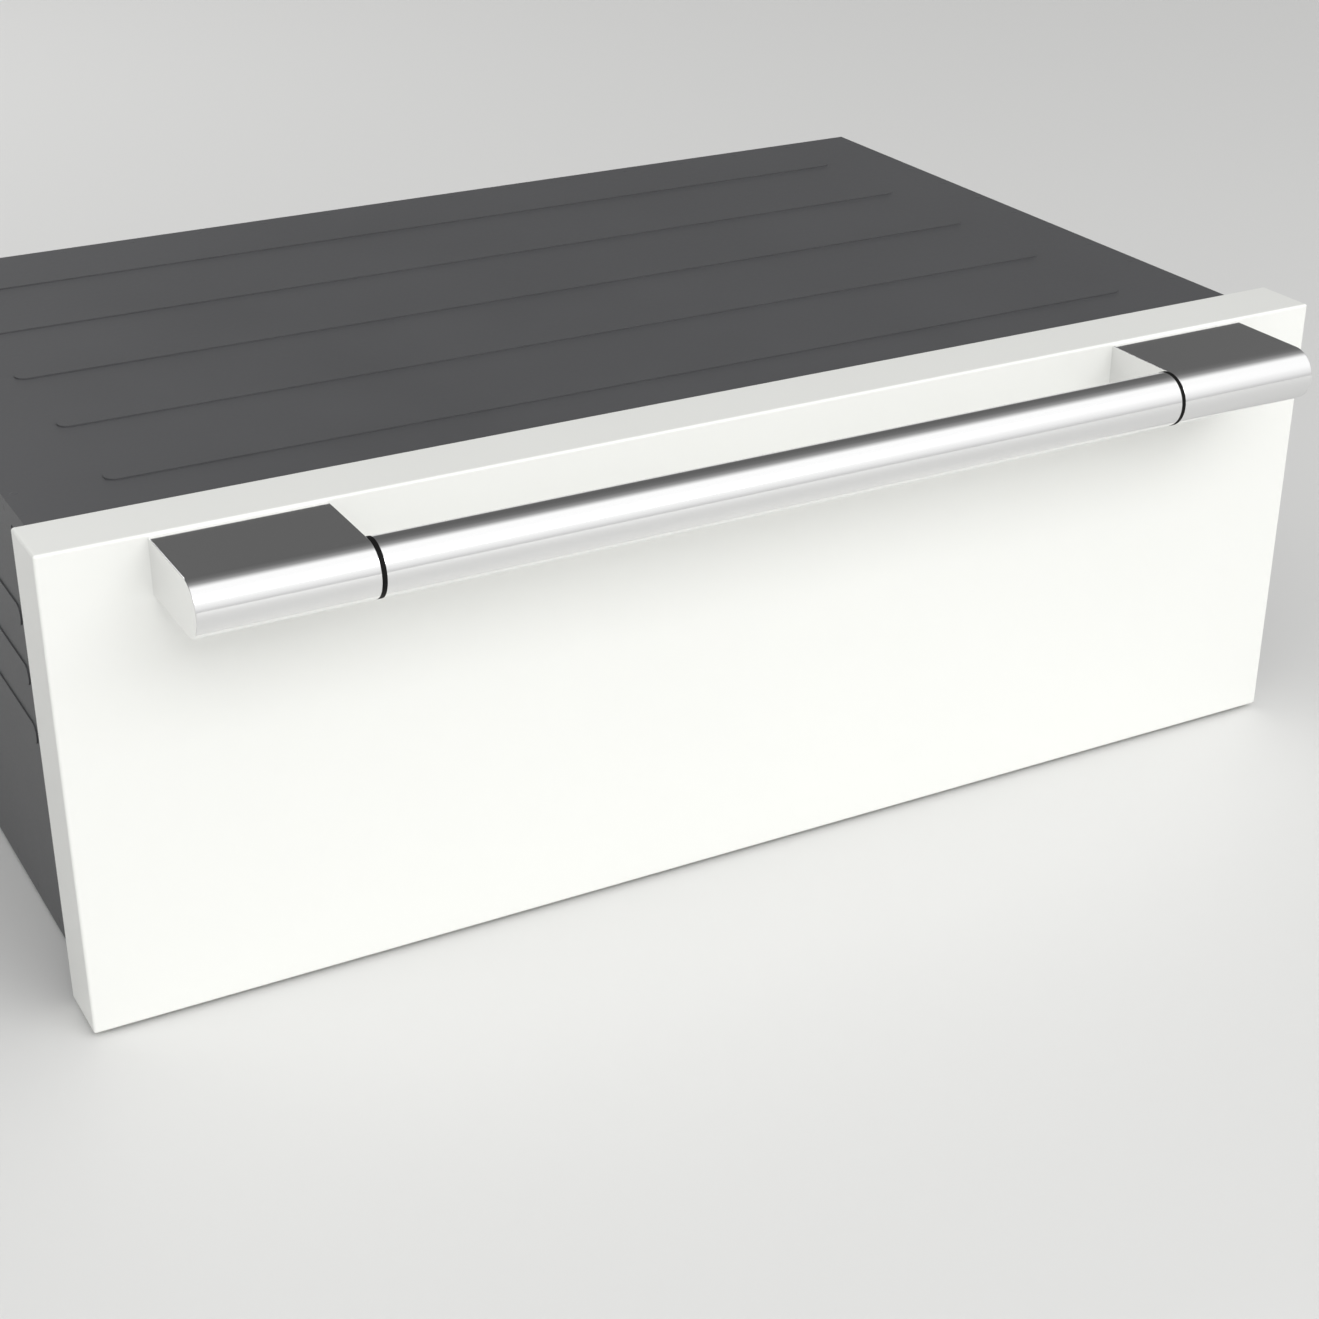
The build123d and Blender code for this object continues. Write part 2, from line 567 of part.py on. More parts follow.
def slide_outer(side):
    """Fixed member, screwed to the chassis side."""
    member = channel(side * WEB_INNER, side * LIP_END, SLIDE_GAUGE, OUTER_HALF)
    for y in slide_screw_places():
        member -= rod_x(CHASSIS_SCREW / 2 + SCREW_FIT, side * (WEB_INNER - 3),
                        side * (WEB_INNER + 1), y, SLIDE_CENTRE)
    return member


def slide_middle(side):
    """Middle member with the balls of both stages."""
    pieces = [channel(side * MIDDLE_BACK, side * LIP_END, SLIDE_GAUGE, MIDDLE_HALF)]
    ball_x = side * (LIP_END + 3.0)
    outer_row = MIDDLE_HALF + BALL_SPACE / 2
    inner_row = INNER_HALF + BALL_SPACE / 2
    half_way = SLIDE_START + SLIDE_LENGTH / 2
    for y in evenly(half_way + 5.0, SLIDE_START + SLIDE_LENGTH - 10.0, 47.0)[:BALLS_PER_ROW]:
        for height in (outer_row, -outer_row):
            pieces.append(Pos(ball_x, y, SLIDE_CENTRE + height) * Sphere(BALL_RADIUS))
    for y in evenly(SLIDE_START + 10.0, half_way - 5.0, 47.0)[:BALLS_PER_ROW]:
        for height in (inner_row, -inner_row):
            pieces.append(Pos(ball_x, y, SLIDE_CENTRE + height) * Sphere(BALL_RADIUS))
    return joined(pieces)


def slide_inner(side):
    """Moving member, fixed to the tub's rail."""
    return channel(side * SLIDE_FACE, side * (MIDDLE_BACK - SLIDE_GAUGE - 1.0), SLIDE_GAUGE, INNER_HALF)


# ---- tub and lid ----
def tub():
    """Moulded tub with rim, rails for the slides, sump hole and hub holes."""
    body = rounded_plate(TUB_HALF, TUB_FRONT, TUB_BACK, TUB_UNDERSIDE, TUB_RIM_TOP, TUB_CORNER)
    rim_corner = TUB_CORNER + RIM_WIDTH
    body += rounded_plate(RIM_HALF, TUB_FRONT - RIM_WIDTH, TUB_BACK + RIM_WIDTH,
                          TUB_RIM_TOP - TUB_WALL, TUB_RIM_TOP, rim_corner)
    for _, side in SIDES:
        y1 = min(SLIDE_START + SLIDE_LENGTH, TUB_BACK - TUB_CORNER)
        body += block(side * (TUB_HALF - 1), side * SLIDE_FACE, TUB_FRONT + TUB_CORNER, y1,
                      SLIDE_CENTRE - INNER_HALF, SLIDE_CENTRE + INNER_HALF)
    cavity = rounded_plate(TUB_INNER, TUB_FRONT + TUB_WALL, TUB_BACK - TUB_WALL, TUB_FLOOR,
                           TUB_RIM_TOP + 1, TUB_CORNER - TUB_WALL)
    cavity = fillet(cavity.edges().group_by(Axis.Z)[0], TUB_FLOOR_RADIUS)
    body -= cavity
    body -= rod_z(SUMP_RADIUS - SUMP_WALL - 2.0, 0, TUB_Y, TUB_UNDERSIDE - 1, TUB_FLOOR + 1)
    for _, side in SIDES:
        body -= rod_z(NECK_RADIUS + SLIP, side * ARM_CENTRE, TUB_Y, TUB_UNDERSIDE - 1, TUB_FLOOR + 1)
        body -= rod_z(HEATER_TUBE / 2 + SCREW_FIT, side * TERMINAL_X, TERMINAL_Y,
                      TUB_UNDERSIDE - 1, TUB_FLOOR + 1)
    return body


def tub_gasket():
    """Soft ring on the tub's rim."""
    inset = (RIM_WIDTH + TUB_WALL - GASKET_WIDTH) / 2
    outer = RIM_HALF - inset
    y0 = TUB_FRONT - RIM_WIDTH + inset
    y1 = TUB_BACK + RIM_WIDTH - inset
    corner = TUB_CORNER + RIM_WIDTH - inset
    top = TUB_RIM_TOP + GASKET_HEIGHT
    ring = rounded_plate(outer, y0, y1, TUB_RIM_TOP, top, corner)
    ring = fillet(ring.edges().group_by(Axis.Z)[-1], 1.5)
    ring -= rounded_plate(outer - GASKET_WIDTH, y0 + GASKET_WIDTH, y1 - GASKET_WIDTH,
                          TUB_RIM_TOP - 1, top + 1, corner - GASKET_WIDTH)
    return ring


def lid_pin_places():
    return (TUB_FRONT + LID_PIN_INSET, TUB_BACK - LID_PIN_INSET)


def tub_lid():
    """Lid in a downward tray form, with ribs above and four lift pins."""
    y0 = TUB_FRONT - RIM_WIDTH
    y1 = TUB_BACK + RIM_WIDTH
    corner = TUB_CORNER + RIM_WIDTH
    lid = rounded_plate(RIM_HALF, y0, y1, LID_UNDERSIDE, LID_TOP, corner)
    edge = RIM_WIDTH + TUB_WALL
    pocket = rounded_plate(RIM_HALF - edge, y0 + edge, y1 - edge, LID_UNDERSIDE + LID_SKIN,
                           LID_TOP + 1, corner - edge)
    pocket -= joined([block(x - 1.2, x + 1.2, y0, y1, LID_UNDERSIDE, LID_TOP - 1)
                      for x in evenly(-RIM_HALF + 60, RIM_HALF - 60, 124.0)])
    pocket -= joined([block(-RIM_HALF, RIM_HALF, y - 1.2, y + 1.2, LID_UNDERSIDE, LID_TOP - 1)
                      for y in evenly(y0 + 75, y1 - 75, 104.0)])
    lid -= pocket
    for _, side in SIDES:
        for y in lid_pin_places():
            lid += rod_x(LID_PIN / 2, side * (RIM_HALF - 4), side * (WEB_INNER - 3), y,
                         (LID_UNDERSIDE + LID_TOP) / 2)
    return lid


def lid_guides():
    """Four lifter housings on the chassis sides, each slotted for a lid pin."""
    pieces = []
    pin_z = (LID_UNDERSIDE + LID_TOP) / 2
    half_slot = LID_PIN / 2 + TOUCH
    for _, side in SIDES:
        x0 = side * (RIM_HALF + 3.0)
        for y in lid_pin_places():
            guide = block(x0, side * WEB_INNER, y - 15.0, y + 15.0, pin_z - 24.0, ROOF - SHEET - TOUCH)
            slot = block(x0 - side, side * (WEB_INNER + 1), y - half_slot, y + half_slot,
                         pin_z, pin_z + LID_LIFT)
            for z in (pin_z, pin_z + LID_LIFT):
                slot += rod_x(half_slot, x0 - side, side * (WEB_INNER + 1), y, z)
            guide -= slot
            pieces.append(guide)
    return joined(pieces)


# ---- wash system ----
TERMINAL_X = 13.0
TERMINAL_Y = TUB_Y + math.sqrt(HEATER_RADIUS ** 2 - TERMINAL_X ** 2)
PUMP_Y = TUB_Y + PUMP_OFFSET_Y
WASH_RADIUS = WASH_PUMP_DIAMETER / 2
MOTOR_RADIUS = WASH_MOTOR_DIAMETER / 2
DRAIN_RADIUS = DRAIN_PUMP_DIAMETER / 2
PIPE_RADIUS = PIPE_DIAMETER / 2
SUCTION_RADIUS = 8.0
PUMP_WALL = 3.0
SHAFT_RADIUS = 3.0


def sump():
    """Cup under the tub floor with a flange, and ports for both pumps."""
    flange = rod_z(SUMP_RADIUS + 11.0, 0, TUB_Y, TUB_UNDERSIDE - 3.0, TUB_UNDERSIDE)
    cup = rod_z(SUMP_RADIUS, 0, TUB_Y, SUMP_BOTTOM, TUB_UNDERSIDE)
    cup = fillet(cup.edges().group_by(Axis.Z)[0], 6.0)
    body = flange + cup
    body -= rod_z(SUMP_RADIUS - SUMP_WALL, 0, TUB_Y, SUMP_BOTTOM + SUMP_WALL, TUB_UNDERSIDE + 1)
    for _, side in SIDES:
        body -= rod_x(SUCTION_RADIUS + SLIP, side * 40.0, side * (SUMP_RADIUS + 2), PUMP_Y, PUMP_HEIGHT)
    return body


def pump_body(side, radius, length, outlet):
    """Volute about X with its suction pipe, and an outlet pipe given as a solid and its bore."""
    near = side * PUMP_OFFSET_X
    far = side * (PUMP_OFFSET_X + length)
    body = rod_x(radius, near, far, PUMP_Y, PUMP_HEIGHT)
    port = side * (SUMP_RADIUS - 21.0)
    body += rod_x(SUCTION_RADIUS, port, near, PUMP_Y, PUMP_HEIGHT)
    body += outlet[0]
    body -= rod_x(radius - PUMP_WALL, near + side * PUMP_WALL, far + side, PUMP_Y, PUMP_HEIGHT)
    body -= rod_x(SUCTION_RADIUS - 2.0, port - side, near + side * PUMP_WALL, PUMP_Y, PUMP_HEIGHT)
    body -= outlet[1]
    return body


def wash_pump():
    """Wash pump housing with the pipe to the manifold."""
    x = PUMP_OFFSET_X + WASH_PUMP_LENGTH / 2
    start = PUMP_Y - WASH_RADIUS + 2.0
    end = TUB_Y - MANIFOLD_OFFSET + PIPE_RADIUS
    outlet = rod_y(9.0, x, end, start, PIPE_HEIGHT)
    bore = rod_y(6.5, x, end - 1, start + 4.0, PIPE_HEIGHT)
    return pump_body(1, WASH_RADIUS, WASH_PUMP_LENGTH, (outlet, bore))


def drain_pump():
    """Drain pump: housing, motor shell and the outlet towards the back."""
    side = -1
    x = side * (PUMP_OFFSET_X + DRAIN_PUMP_LENGTH / 2)
    start = PUMP_Y + DRAIN_RADIUS - 2.0
    outlet = rod_y(HOSE_PORT_RADIUS, x, start, HOSE_START_Y, PUMP_HEIGHT)
    bore = rod_y(HOSE_PORT_RADIUS - 2.0, x, start - 4.0, HOSE_START_Y + 1, PUMP_HEIGHT)
    body = pump_body(side, DRAIN_RADIUS, DRAIN_PUMP_LENGTH, (outlet, bore))
    return body + motor_shell(side, DRAIN_RADIUS - 1.0, DRAIN_PUMP_LENGTH, DRAIN_MOTOR_LENGTH)


def motor_shell(side, radius, offset, length):
    """Motor can behind a pump, with bearings at both ends and a foot under the tub."""
    near = side * (PUMP_OFFSET_X + offset)
    far = near + side * length
    shell = rod_x(radius, near, far, PUMP_Y, PUMP_HEIGHT)
    middle = (near + far) / 2
    shell += block(middle - 14.0, middle + 14.0, PUMP_Y - 9.0, PUMP_Y + 9.0, PUMP_HEIGHT, TUB_UNDERSIDE)
    shell -= rod_x(radius - 5.0, near + side * 2.0, far - side * 3.0, PUMP_Y, PUMP_HEIGHT)
    shell -= rod_x(SHAFT_RADIUS + RUNNING_FIT, near - side, far - side * 1.0, PUMP_Y, PUMP_HEIGHT)
    return shell


def rotor(side, pump_radius, pump_length, motor_radius, motor_length):
    """Impeller, shaft and magnet core of one pump."""
    near = side * (PUMP_OFFSET_X + PUMP_WALL + 3.0)
    motor = side * (PUMP_OFFSET_X + pump_length)
    far = motor + side * (motor_length - 2.0)
    disc = pump_radius - PUMP_WALL - 3.0
    body = rod_x(SHAFT_RADIUS, near, far, PUMP_Y, PUMP_HEIGHT)
    back = motor - side * 4.0
    body += rod_x(disc, back - side * 2.5, back, PUMP_Y, PUMP_HEIGHT)
    vane_half = abs(back - near) / 2
    for turn in range(0, 360, 72):
        vane = block(-1.0, 1.0, SHAFT_RADIUS - 1, disc - 0.5, -vane_half, vane_half)
        centre = (back + near) / 2
        placed = Pos(centre, PUMP_Y, PUMP_HEIGHT) * Rot(turn, 0, 0) * Rot(0, 90, 0) * vane
        body += placed
    core_near = motor + side * 6.0
    core_far = motor + side * (motor_length - 8.0)
    body += rod_x(motor_radius - 5.0 - 1.5, core_near, core_far, PUMP_Y, PUMP_HEIGHT)
    return body


def wash_manifold():
    """Pipe from the wash pump to both arm hubs, with the necks the arms turn on."""
    main_y = TUB_Y - MANIFOLD_OFFSET
    solid = []
    bore = []
    for radius, pieces in ((PIPE_RADIUS, solid), (PIPE_RADIUS - PIPE_WALL, bore)):
        pieces.append(rod_x(radius, -ARM_CENTRE, ARM_CENTRE, main_y, PIPE_HEIGHT))
        for _, side in SIDES:
            x = side * ARM_CENTRE
            pieces.append(Pos(x, main_y, PIPE_HEIGHT) * Sphere(radius))
            pieces.append(rod_y(radius, x, main_y, TUB_Y, PIPE_HEIGHT))
    for _, side in SIDES:
        x = side * ARM_CENTRE
        solid.append(rod_z(PIPE_RADIUS + 4.0, x, TUB_Y, PIPE_HEIGHT - PIPE_RADIUS, TUB_UNDERSIDE))
        solid.append(rod_z(NECK_RADIUS, x, TUB_Y, TUB_UNDERSIDE, ARM_TOP + TOUCH))
        solid.append(rod_z(NECK_RADIUS + 4.0, x, TUB_Y, TUB_FLOOR, ARM_BASE - TOUCH))
        solid.append(rod_z(NECK_RADIUS + 4.0, x, TUB_Y, ARM_TOP + TOUCH, ARM_TOP + TOUCH + 4.0))
        bore.append(rod_z(NECK_RADIUS - PIPE_WALL, x, TUB_Y, PIPE_HEIGHT, ARM_TOP - 1.0))
        bore.append(rod_x(NOZZLE_DIAMETER, x - NECK_RADIUS - 1, x + NECK_RADIUS + 1, TUB_Y,
                          (ARM_BASE + ARM_TOP) / 2))
    pump_x = PUMP_OFFSET_X + WASH_PUMP_LENGTH / 2
    bore.append(rod_y(6.5, pump_x, main_y, main_y + PIPE_RADIUS + 1, PIPE_HEIGHT))
    return joined(solid) - joined(bore)


def heating_element():
    """Open ring of heater tube above the tub floor, with two legs down through it."""
    radius = HEATER_TUBE / 2
    z = TUB_FLOOR + 0.8 + radius
    gap = math.degrees(math.asin(TERMINAL_X / HEATER_RADIUS))
    ring = Pos(0, TUB_Y, z) * Rot(0, 0, 90 + gap) * Torus(HEATER_RADIUS, radius, major_angle=360 - 2 * gap)
    body = ring
    for _, side in SIDES:
        x = side * TERMINAL_X
        body += Pos(x, TERMINAL_Y, z) * Sphere(radius)
        body += rod_z(radius, x, TERMINAL_Y, TUB_UNDERSIDE - 12.0, z)
    return body


def filter_plate():
    """Perforated disc over the sump, with the opening for the filter cup."""
    plate = rod_z(FILTER_DIAMETER / 2, 0, TUB_Y, TUB_FLOOR, TUB_FLOOR + 1.5)
    plate -= rod_z(FILTER_CUP_DIAMETER / 2 + TOUCH, 0, TUB_Y, TUB_FLOOR - 1, TUB_FLOOR + 3)
    holes = []
    first = FILTER_CUP_DIAMETER / 2 + 10.0
    last = SUMP_RADIUS - SUMP_WALL - 5.0
    for ring in evenly(first, last, 9.0):
        count = int(2 * math.pi * ring / (FILTER_HOLE * 2.4))
        for i in range(count):
            angle = 2 * math.pi * i / count
            x = ring * math.cos(angle)
            y = TUB_Y + ring * math.sin(angle)
            holes.append(rod_z(FILTER_HOLE / 2, x, y, TUB_FLOOR - 1, TUB_FLOOR + 3))
    return plate - joined(holes)


def filter_cup():
    """Fine filter that twists out: slotted cup, flange and low grip."""
    radius = FILTER_CUP_DIAMETER / 2
    top = TUB_FLOOR + 1.5 + TOUCH
    cup = rod_z(radius, 0, TUB_Y, SUMP_BOTTOM + SUMP_WALL + 4.0, top)
    cup += rod_z(radius + 5.0, 0, TUB_Y, top, top + 2.0)
    cup -= rod_z(radius - 1.8, 0, TUB_Y, SUMP_BOTTOM + SUMP_WALL + 6.0, top + 3.0)
    slots = []
    for turn in range(0, 180, 15):
        slot = Box(2 * radius + 4, 3.0, TUB_UNDERSIDE - SUMP_BOTTOM - 26.0)
        slots.append(Pos(0, TUB_Y, (TUB_UNDERSIDE + SUMP_BOTTOM) / 2) * Rot(0, 0, turn) * slot)
    cup -= joined(slots)
    grip = block(-radius - 2.0, radius + 2.0, TUB_Y - 2.5, TUB_Y + 2.5, top, top + 5.5)
    return cup + grip


def spray_arm(side):
    """Hollow two-bladed arm with a hub bore and a row of nozzles on each blade."""
    x = side * ARM_CENTRE
    tip = ARM_RADIUS - ARM_TIP_WIDTH / 2
    body = extrude(arm_outline(tip, 0.0), ARM_THICKNESS)
    body = fillet(body.edges().group_by(Axis.Z)[-1], 3.0)
    channel_cut = Pos(0, 0, ARM_WALL) * extrude(arm_outline(tip, ARM_WALL + 1.5), ARM_THICKNESS - 2 * ARM_WALL)
    hub = Cylinder(NECK_RADIUS + 6.0, ARM_THICKNESS, align=(Align.CENTER, Align.CENTER, Align.MIN))
    body = body - channel_cut + hub
    body -= Pos(0, 0, -1) * Cylinder(NECK_RADIUS + RUNNING_FIT, ARM_THICKNESS + 2,
                                     align=(Align.CENTER, Align.CENTER, Align.MIN))
    body -= Pos(0, 0, ARM_THICKNESS / 2) * Rot(0, 90, 0) * Cylinder(NOZZLE_DIAMETER, 2 * NECK_RADIUS + 16)
    nozzles = []
    for turn in (0, 180):
        for place in evenly(NECK_RADIUS + 26.0, tip, 34.0)[:NOZZLES_PER_SIDE]:
            nozzle = Cylinder(NOZZLE_DIAMETER / 2, ARM_THICKNESS)
            nozzles.append(Rot(0, 0, turn) * Pos(place, 3.0, ARM_THICKNESS) * nozzle)
    body -= joined(nozzles)
    return Pos(x, TUB_Y, ARM_BASE) * Rot(0, 0, side * 28.0) * body


def arm_outline(tip, inset):
    """Plan of a spray arm: wide middle, round tapered tips."""
    middle = Circle(ARM_WIDTH / 2 - inset)
    ends = [Pos(s * tip, 0) * Circle(ARM_TIP_WIDTH / 2 - inset) for s in (-1, 1)]
    return make_hull((middle + ends[0] + ends[1]).edges())


# ---- rack ----
def rack_floor():
    """Welded wire floor on four legs, with clips for the tine rows."""
    wires = []
    for y in evenly(RACK_FRONT, RACK_BACK, RACK_PITCH):
        wires.append(rod_x(WIRE_RADIUS, -RACK_HALF, RACK_HALF, y, RACK_FLOOR))
    for x in evenly(-RACK_HALF, RACK_HALF, RACK_PITCH):
        wires.append(rod_y(WIRE_RADIUS, x, RACK_FRONT - WIRE_RADIUS, RACK_BACK + WIRE_RADIUS, UPPER_WIRE))
    for _, side in SIDES:
        for y in clip_places():
            wires.append(rod_z(LEG_RADIUS, side * (RACK_HALF - TUB_CORNER), y, TUB_FLOOR + TOUCH, RACK_FLOOR))
    grid = joined(wires)
    for x in ROWS:
        for y in clip_places():
            grid += block(x - 5.0, x + 5.0, y - 4.0, y + 4.0, RACK_FLOOR, ROW_ROD_Z + CLIP_GRIP)
            grid -= rod_y(WIRE_RADIUS + RUNNING_FIT, x, y - 5.0, y + 5.0, ROW_ROD_Z)
    return grid


def clip_places():
    """Clips sit on floor wires, near both ends of a tine row."""
    wires = evenly(RACK_FRONT, RACK_BACK, RACK_PITCH)
    return (wires[1], wires[-2])


def side_grid(length, bottom):
    """Upright wire panel along Y, centred on Y = 0, at X = 0."""
    wires = []
    half = length / 2
    for y in evenly(-half, half, RACK_SIDE_PITCH):
        wires.append(rod_z(TINE_RADIUS, 0, y, bottom, RACK_TOP))
    for z in (RACK_TOP, (bottom + RACK_TOP) / 2):
        wires.append(rod_y(WIRE_RADIUS, 0, -half, half, z))
    return joined(wires)


def rack_sides():
    """Left and right wire panels; the left one carries the cup shelf's clips."""
    bottom = RACK_SEAT + TOUCH
    length = RACK_BACK - RACK_FRONT
    middle = (RACK_BACK + RACK_FRONT) / 2
    panels = []
    for _, side in SIDES:
        panels.append(Pos(side * RACK_HALF, middle, 0) * side_grid(length, bottom))
    for y in shelf_clip_places():
        clip = block(-RACK_HALF - 1.0, SHELF_X + 4.0, y - 4.0, y + 4.0, SHELF_HEIGHT - 4.0, SHELF_HEIGHT + 4.0)
        clip -= rod_y(WIRE_RADIUS + RUNNING_FIT, SHELF_X, y - 5.0, y + 5.0, SHELF_HEIGHT)
        panels.append(clip)
        rail = (bottom + RACK_TOP) / 2
        low = min(rail, SHELF_HEIGHT - 4.0)
        high = max(rail, SHELF_HEIGHT + 4.0)
        panels.append(block(-RACK_HALF - 1.0, -RACK_HALF + 1.0, y - 4.0, y + 4.0, low, high))
    return joined(panels)


def rack_ends():
    """Front and back wire panels."""
    bottom = RACK_SEAT + TOUCH
    length = 2 * (RACK_HALF - WIRE_RADIUS - TINE_RADIUS - TOUCH)
    panels = []
    for y in (RACK_FRONT, RACK_BACK):
        panels.append(Pos(0, y, 0) * Rot(0, 0, 90) * side_grid(length, bottom))
    return joined(panels)


def tine_row(x, height):
    """Rod along Y with upright tines."""
    y0 = clip_places()[0] - ROW_END_MARGIN / 2
    y1 = clip_places()[1] + ROW_END_MARGIN / 2
    wires = [rod_y(WIRE_RADIUS, x, y0, y1, ROW_ROD_Z)]
    for y in evenly(y0 + ROW_END_MARGIN, y1 - ROW_END_MARGIN, TINE_PITCH):
        wires.append(rod_z(TINE_RADIUS, x, y, ROW_ROD_Z, ROW_ROD_Z + height - TINE_RADIUS))
        wires.append(Pos(x, y, ROW_ROD_Z + height - TINE_RADIUS) * Sphere(TINE_RADIUS))
    return joined(wires)


def tine_rows_fixed():
    """Low rows for bowls."""
    return joined([tine_row(x, BOWL_TINE_HEIGHT) for x in BOWL_ROWS])


def shelf_clip_places():
    return (SHELF_Y - SHELF_LENGTH / 2 + 30.0, SHELF_Y + SHELF_LENGTH / 2 - 30.0)


def cup_shelf():
    """Wire shelf, stored upright against the rack's left side."""
    y0 = SHELF_Y - SHELF_LENGTH / 2
    y1 = SHELF_Y + SHELF_LENGTH / 2
    wires = [rod_y(WIRE_RADIUS, SHELF_X, y0, y1, SHELF_HEIGHT)]
    wires.append(rod_y(WIRE_RADIUS, SHELF_X, y0, y1, SHELF_HEIGHT + SHELF_REACH))
    for y in evenly(y0 + WIRE_RADIUS, y1 - WIRE_RADIUS, 42.0):
        wires.append(rod_z(TINE_RADIUS, SHELF_X, y, SHELF_HEIGHT, SHELF_HEIGHT + SHELF_REACH))
    return joined(wires)


def cutlery_basket():
    """Open plastic basket with three compartments and slotted walls."""
    x1 = BASKET_RIGHT
    x0 = x1 - BASKET_WIDTH
    y0 = BASKET_FRONT
    y1 = y0 + BASKET_DEPTH
    z1 = BASKET_BASE + BASKET_HEIGHT
    body = block(x0, x1, y0, y1, BASKET_BASE, z1)
    cell = (BASKET_DEPTH - 4 * BASKET_WALL) / 3
    for i in range(3):
        start = y0 + BASKET_WALL + i * (cell + BASKET_WALL)
        body -= block(x0 + BASKET_WALL, x1 - BASKET_WALL, start, start + cell, BASKET_BASE + BASKET_WALL, z1 + 1)
    slots = []
    low = BASKET_BASE + 14.0
    for y in evenly(y0 + 14.0, y1 - 14.0, 13.0):
        for z in (low, (low + z1) / 2):
            slots.append(block(x0 - 1, x1 + 1, y - 2.5, y + 2.5, z, z + (z1 - low) / 2 - 10.0))
    for x in evenly(x0 + 14.0, x1 - 14.0, 13.0):
        slots.append(block(x - 2.5, x + 2.5, y0 + 10.0, y1 - 10.0, BASKET_BASE - 1, BASKET_BASE + BASKET_WALL + 1))
    return body - joined(slots)


# ---- dispenser and controls ----
CUP_X = DISPENSER_CENTRE_X - DISPENSER_WIDTH / 2 + 8.0
CUP_Z = DISPENSER_BASE + (DISPENSER_HEIGHT - CUP_HEIGHT) / 2
CAP_X = DISPENSER_CENTRE_X + DISPENSER_WIDTH / 2 - 15.0
CAP_Z = DISPENSER_BASE + DISPENSER_HEIGHT - 17.0
CAP_RADIUS = 12.0
LID_PLATE = 2.0


def dispenser_body():
    """Detergent cup and rinse-aid store on the tub's front wall, with rails for the sliding lid."""
    x0 = DISPENSER_CENTRE_X - DISPENSER_WIDTH / 2
    x1 = DISPENSER_CENTRE_X + DISPENSER_WIDTH / 2
    z1 = DISPENSER_BASE + DISPENSER_HEIGHT
    body = block(x0, x1, DISPENSER_BACK, DISPENSER_FACE, DISPENSER_BASE, z1)
    body = fillet(body.edges().filter_by(Axis.Y), 6.0)
    body -= block(CUP_X, CUP_X + CUP_WIDTH, DISPENSER_BACK + 3.0, DISPENSER_FACE + 1, CUP_Z, CUP_Z + CUP_HEIGHT)
    body -= rod_y(5.0 + RUNNING_FIT, CAP_X, DISPENSER_FACE - 8.0, DISPENSER_FACE + 1, CAP_Z)
    for z, turn in ((CUP_Z - 3.0, 1), (CUP_Z + CUP_HEIGHT + 3.0, -1)):
        low = min(z - turn * (TOUCH + 2.0), z - turn * TOUCH)
        rail = block(x0 + 7.0, CAP_X - CAP_RADIUS - 2.0, DISPENSER_FACE - 1.0,
                     DISPENSER_FACE + LID_PLATE + 2 * TOUCH, low, low + 2.0)
        body += rail
    return body


def dispenser_lid():
    """Sliding lid over the detergent cup, with a finger ridge."""
    y0 = DISPENSER_FACE + TOUCH
    lid = block(CUP_X - 1.0, CUP_X + CUP_WIDTH + 1.0, y0, y0 + LID_PLATE, CUP_Z - 3.0, CUP_Z + CUP_HEIGHT + 3.0)
    lid += block(CUP_X + 4.0, CUP_X + 7.0, y0 + LID_PLATE, y0 + LID_PLATE + 3.0, CUP_Z + 8.0,
                 CUP_Z + CUP_HEIGHT - 8.0)
    return lid


def rinse_cap():
    """Quarter-turn cap with a grip bar and a stem in the store."""
    y0 = DISPENSER_FACE + TOUCH
    cap = rod_y(CAP_RADIUS, CAP_X, y0, y0 + 3.0, CAP_Z)
    cap += rod_y(5.0, CAP_X, DISPENSER_FACE - 7.0, y0, CAP_Z)
    cap += block(CAP_X - 9.0, CAP_X + 9.0, y0 + 3.0, y0 + 7.0, CAP_Z - 1.5, CAP_Z + 1.5)
    return cap


BUTTON_X = {"power": -BUTTON_PITCH * 2.4, "program": BUTTON_PITCH * 1.6, "start": BUTTON_PITCH * 2.6}
BUTTON_Y = (FASCIA_FRONT + FASCIA_BACK) / 2
WINDOW_X = 0.0


def control_fascia():
    """Strip over the gap between front and tub, hollow from below, with button holes and a recess."""
    body = block(-RIM_HALF, RIM_HALF, FASCIA_FRONT, FASCIA_BACK, FASCIA_BASE, FASCIA_TOP)
    body = fillet(body.edges().filter_by(Axis.X).group_by(Axis.Z)[-1], 1.2)
    inner = RIM_HALF - FASCIA_WALL
    body -= block(-inner, inner, FASCIA_FRONT + FASCIA_WALL, FASCIA_BACK - FASCIA_WALL,
                  FASCIA_BASE - 1, FASCIA_TOP - FASCIA_WALL - 1.0)
    for x in evenly(-inner, inner, 140.0)[1:-1]:
        body += block(x - 1.0, x + 1.0, FASCIA_FRONT, FASCIA_BACK, FASCIA_BASE, FASCIA_TOP - FASCIA_WALL)
    for x in BUTTON_X.values():
        body -= button_block(x, TOUCH, FASCIA_BASE + 10.0, FASCIA_TOP + 1)
    body -= window_block(SLIP, FASCIA_TOP - FASCIA_WALL - SLIP)
    return body


def button_block(x, grow, z0, z1):
    """Button plan, grown all round by the given amount."""
    half_x = BUTTON_WIDTH / 2 + grow
    half_y = BUTTON_DEPTH / 2 + grow
    shape = block(x - half_x, x + half_x, BUTTON_Y - half_y, BUTTON_Y + half_y, z0, z1)
    return fillet(shape.edges().filter_by(Axis.Z), 3.0 + grow)


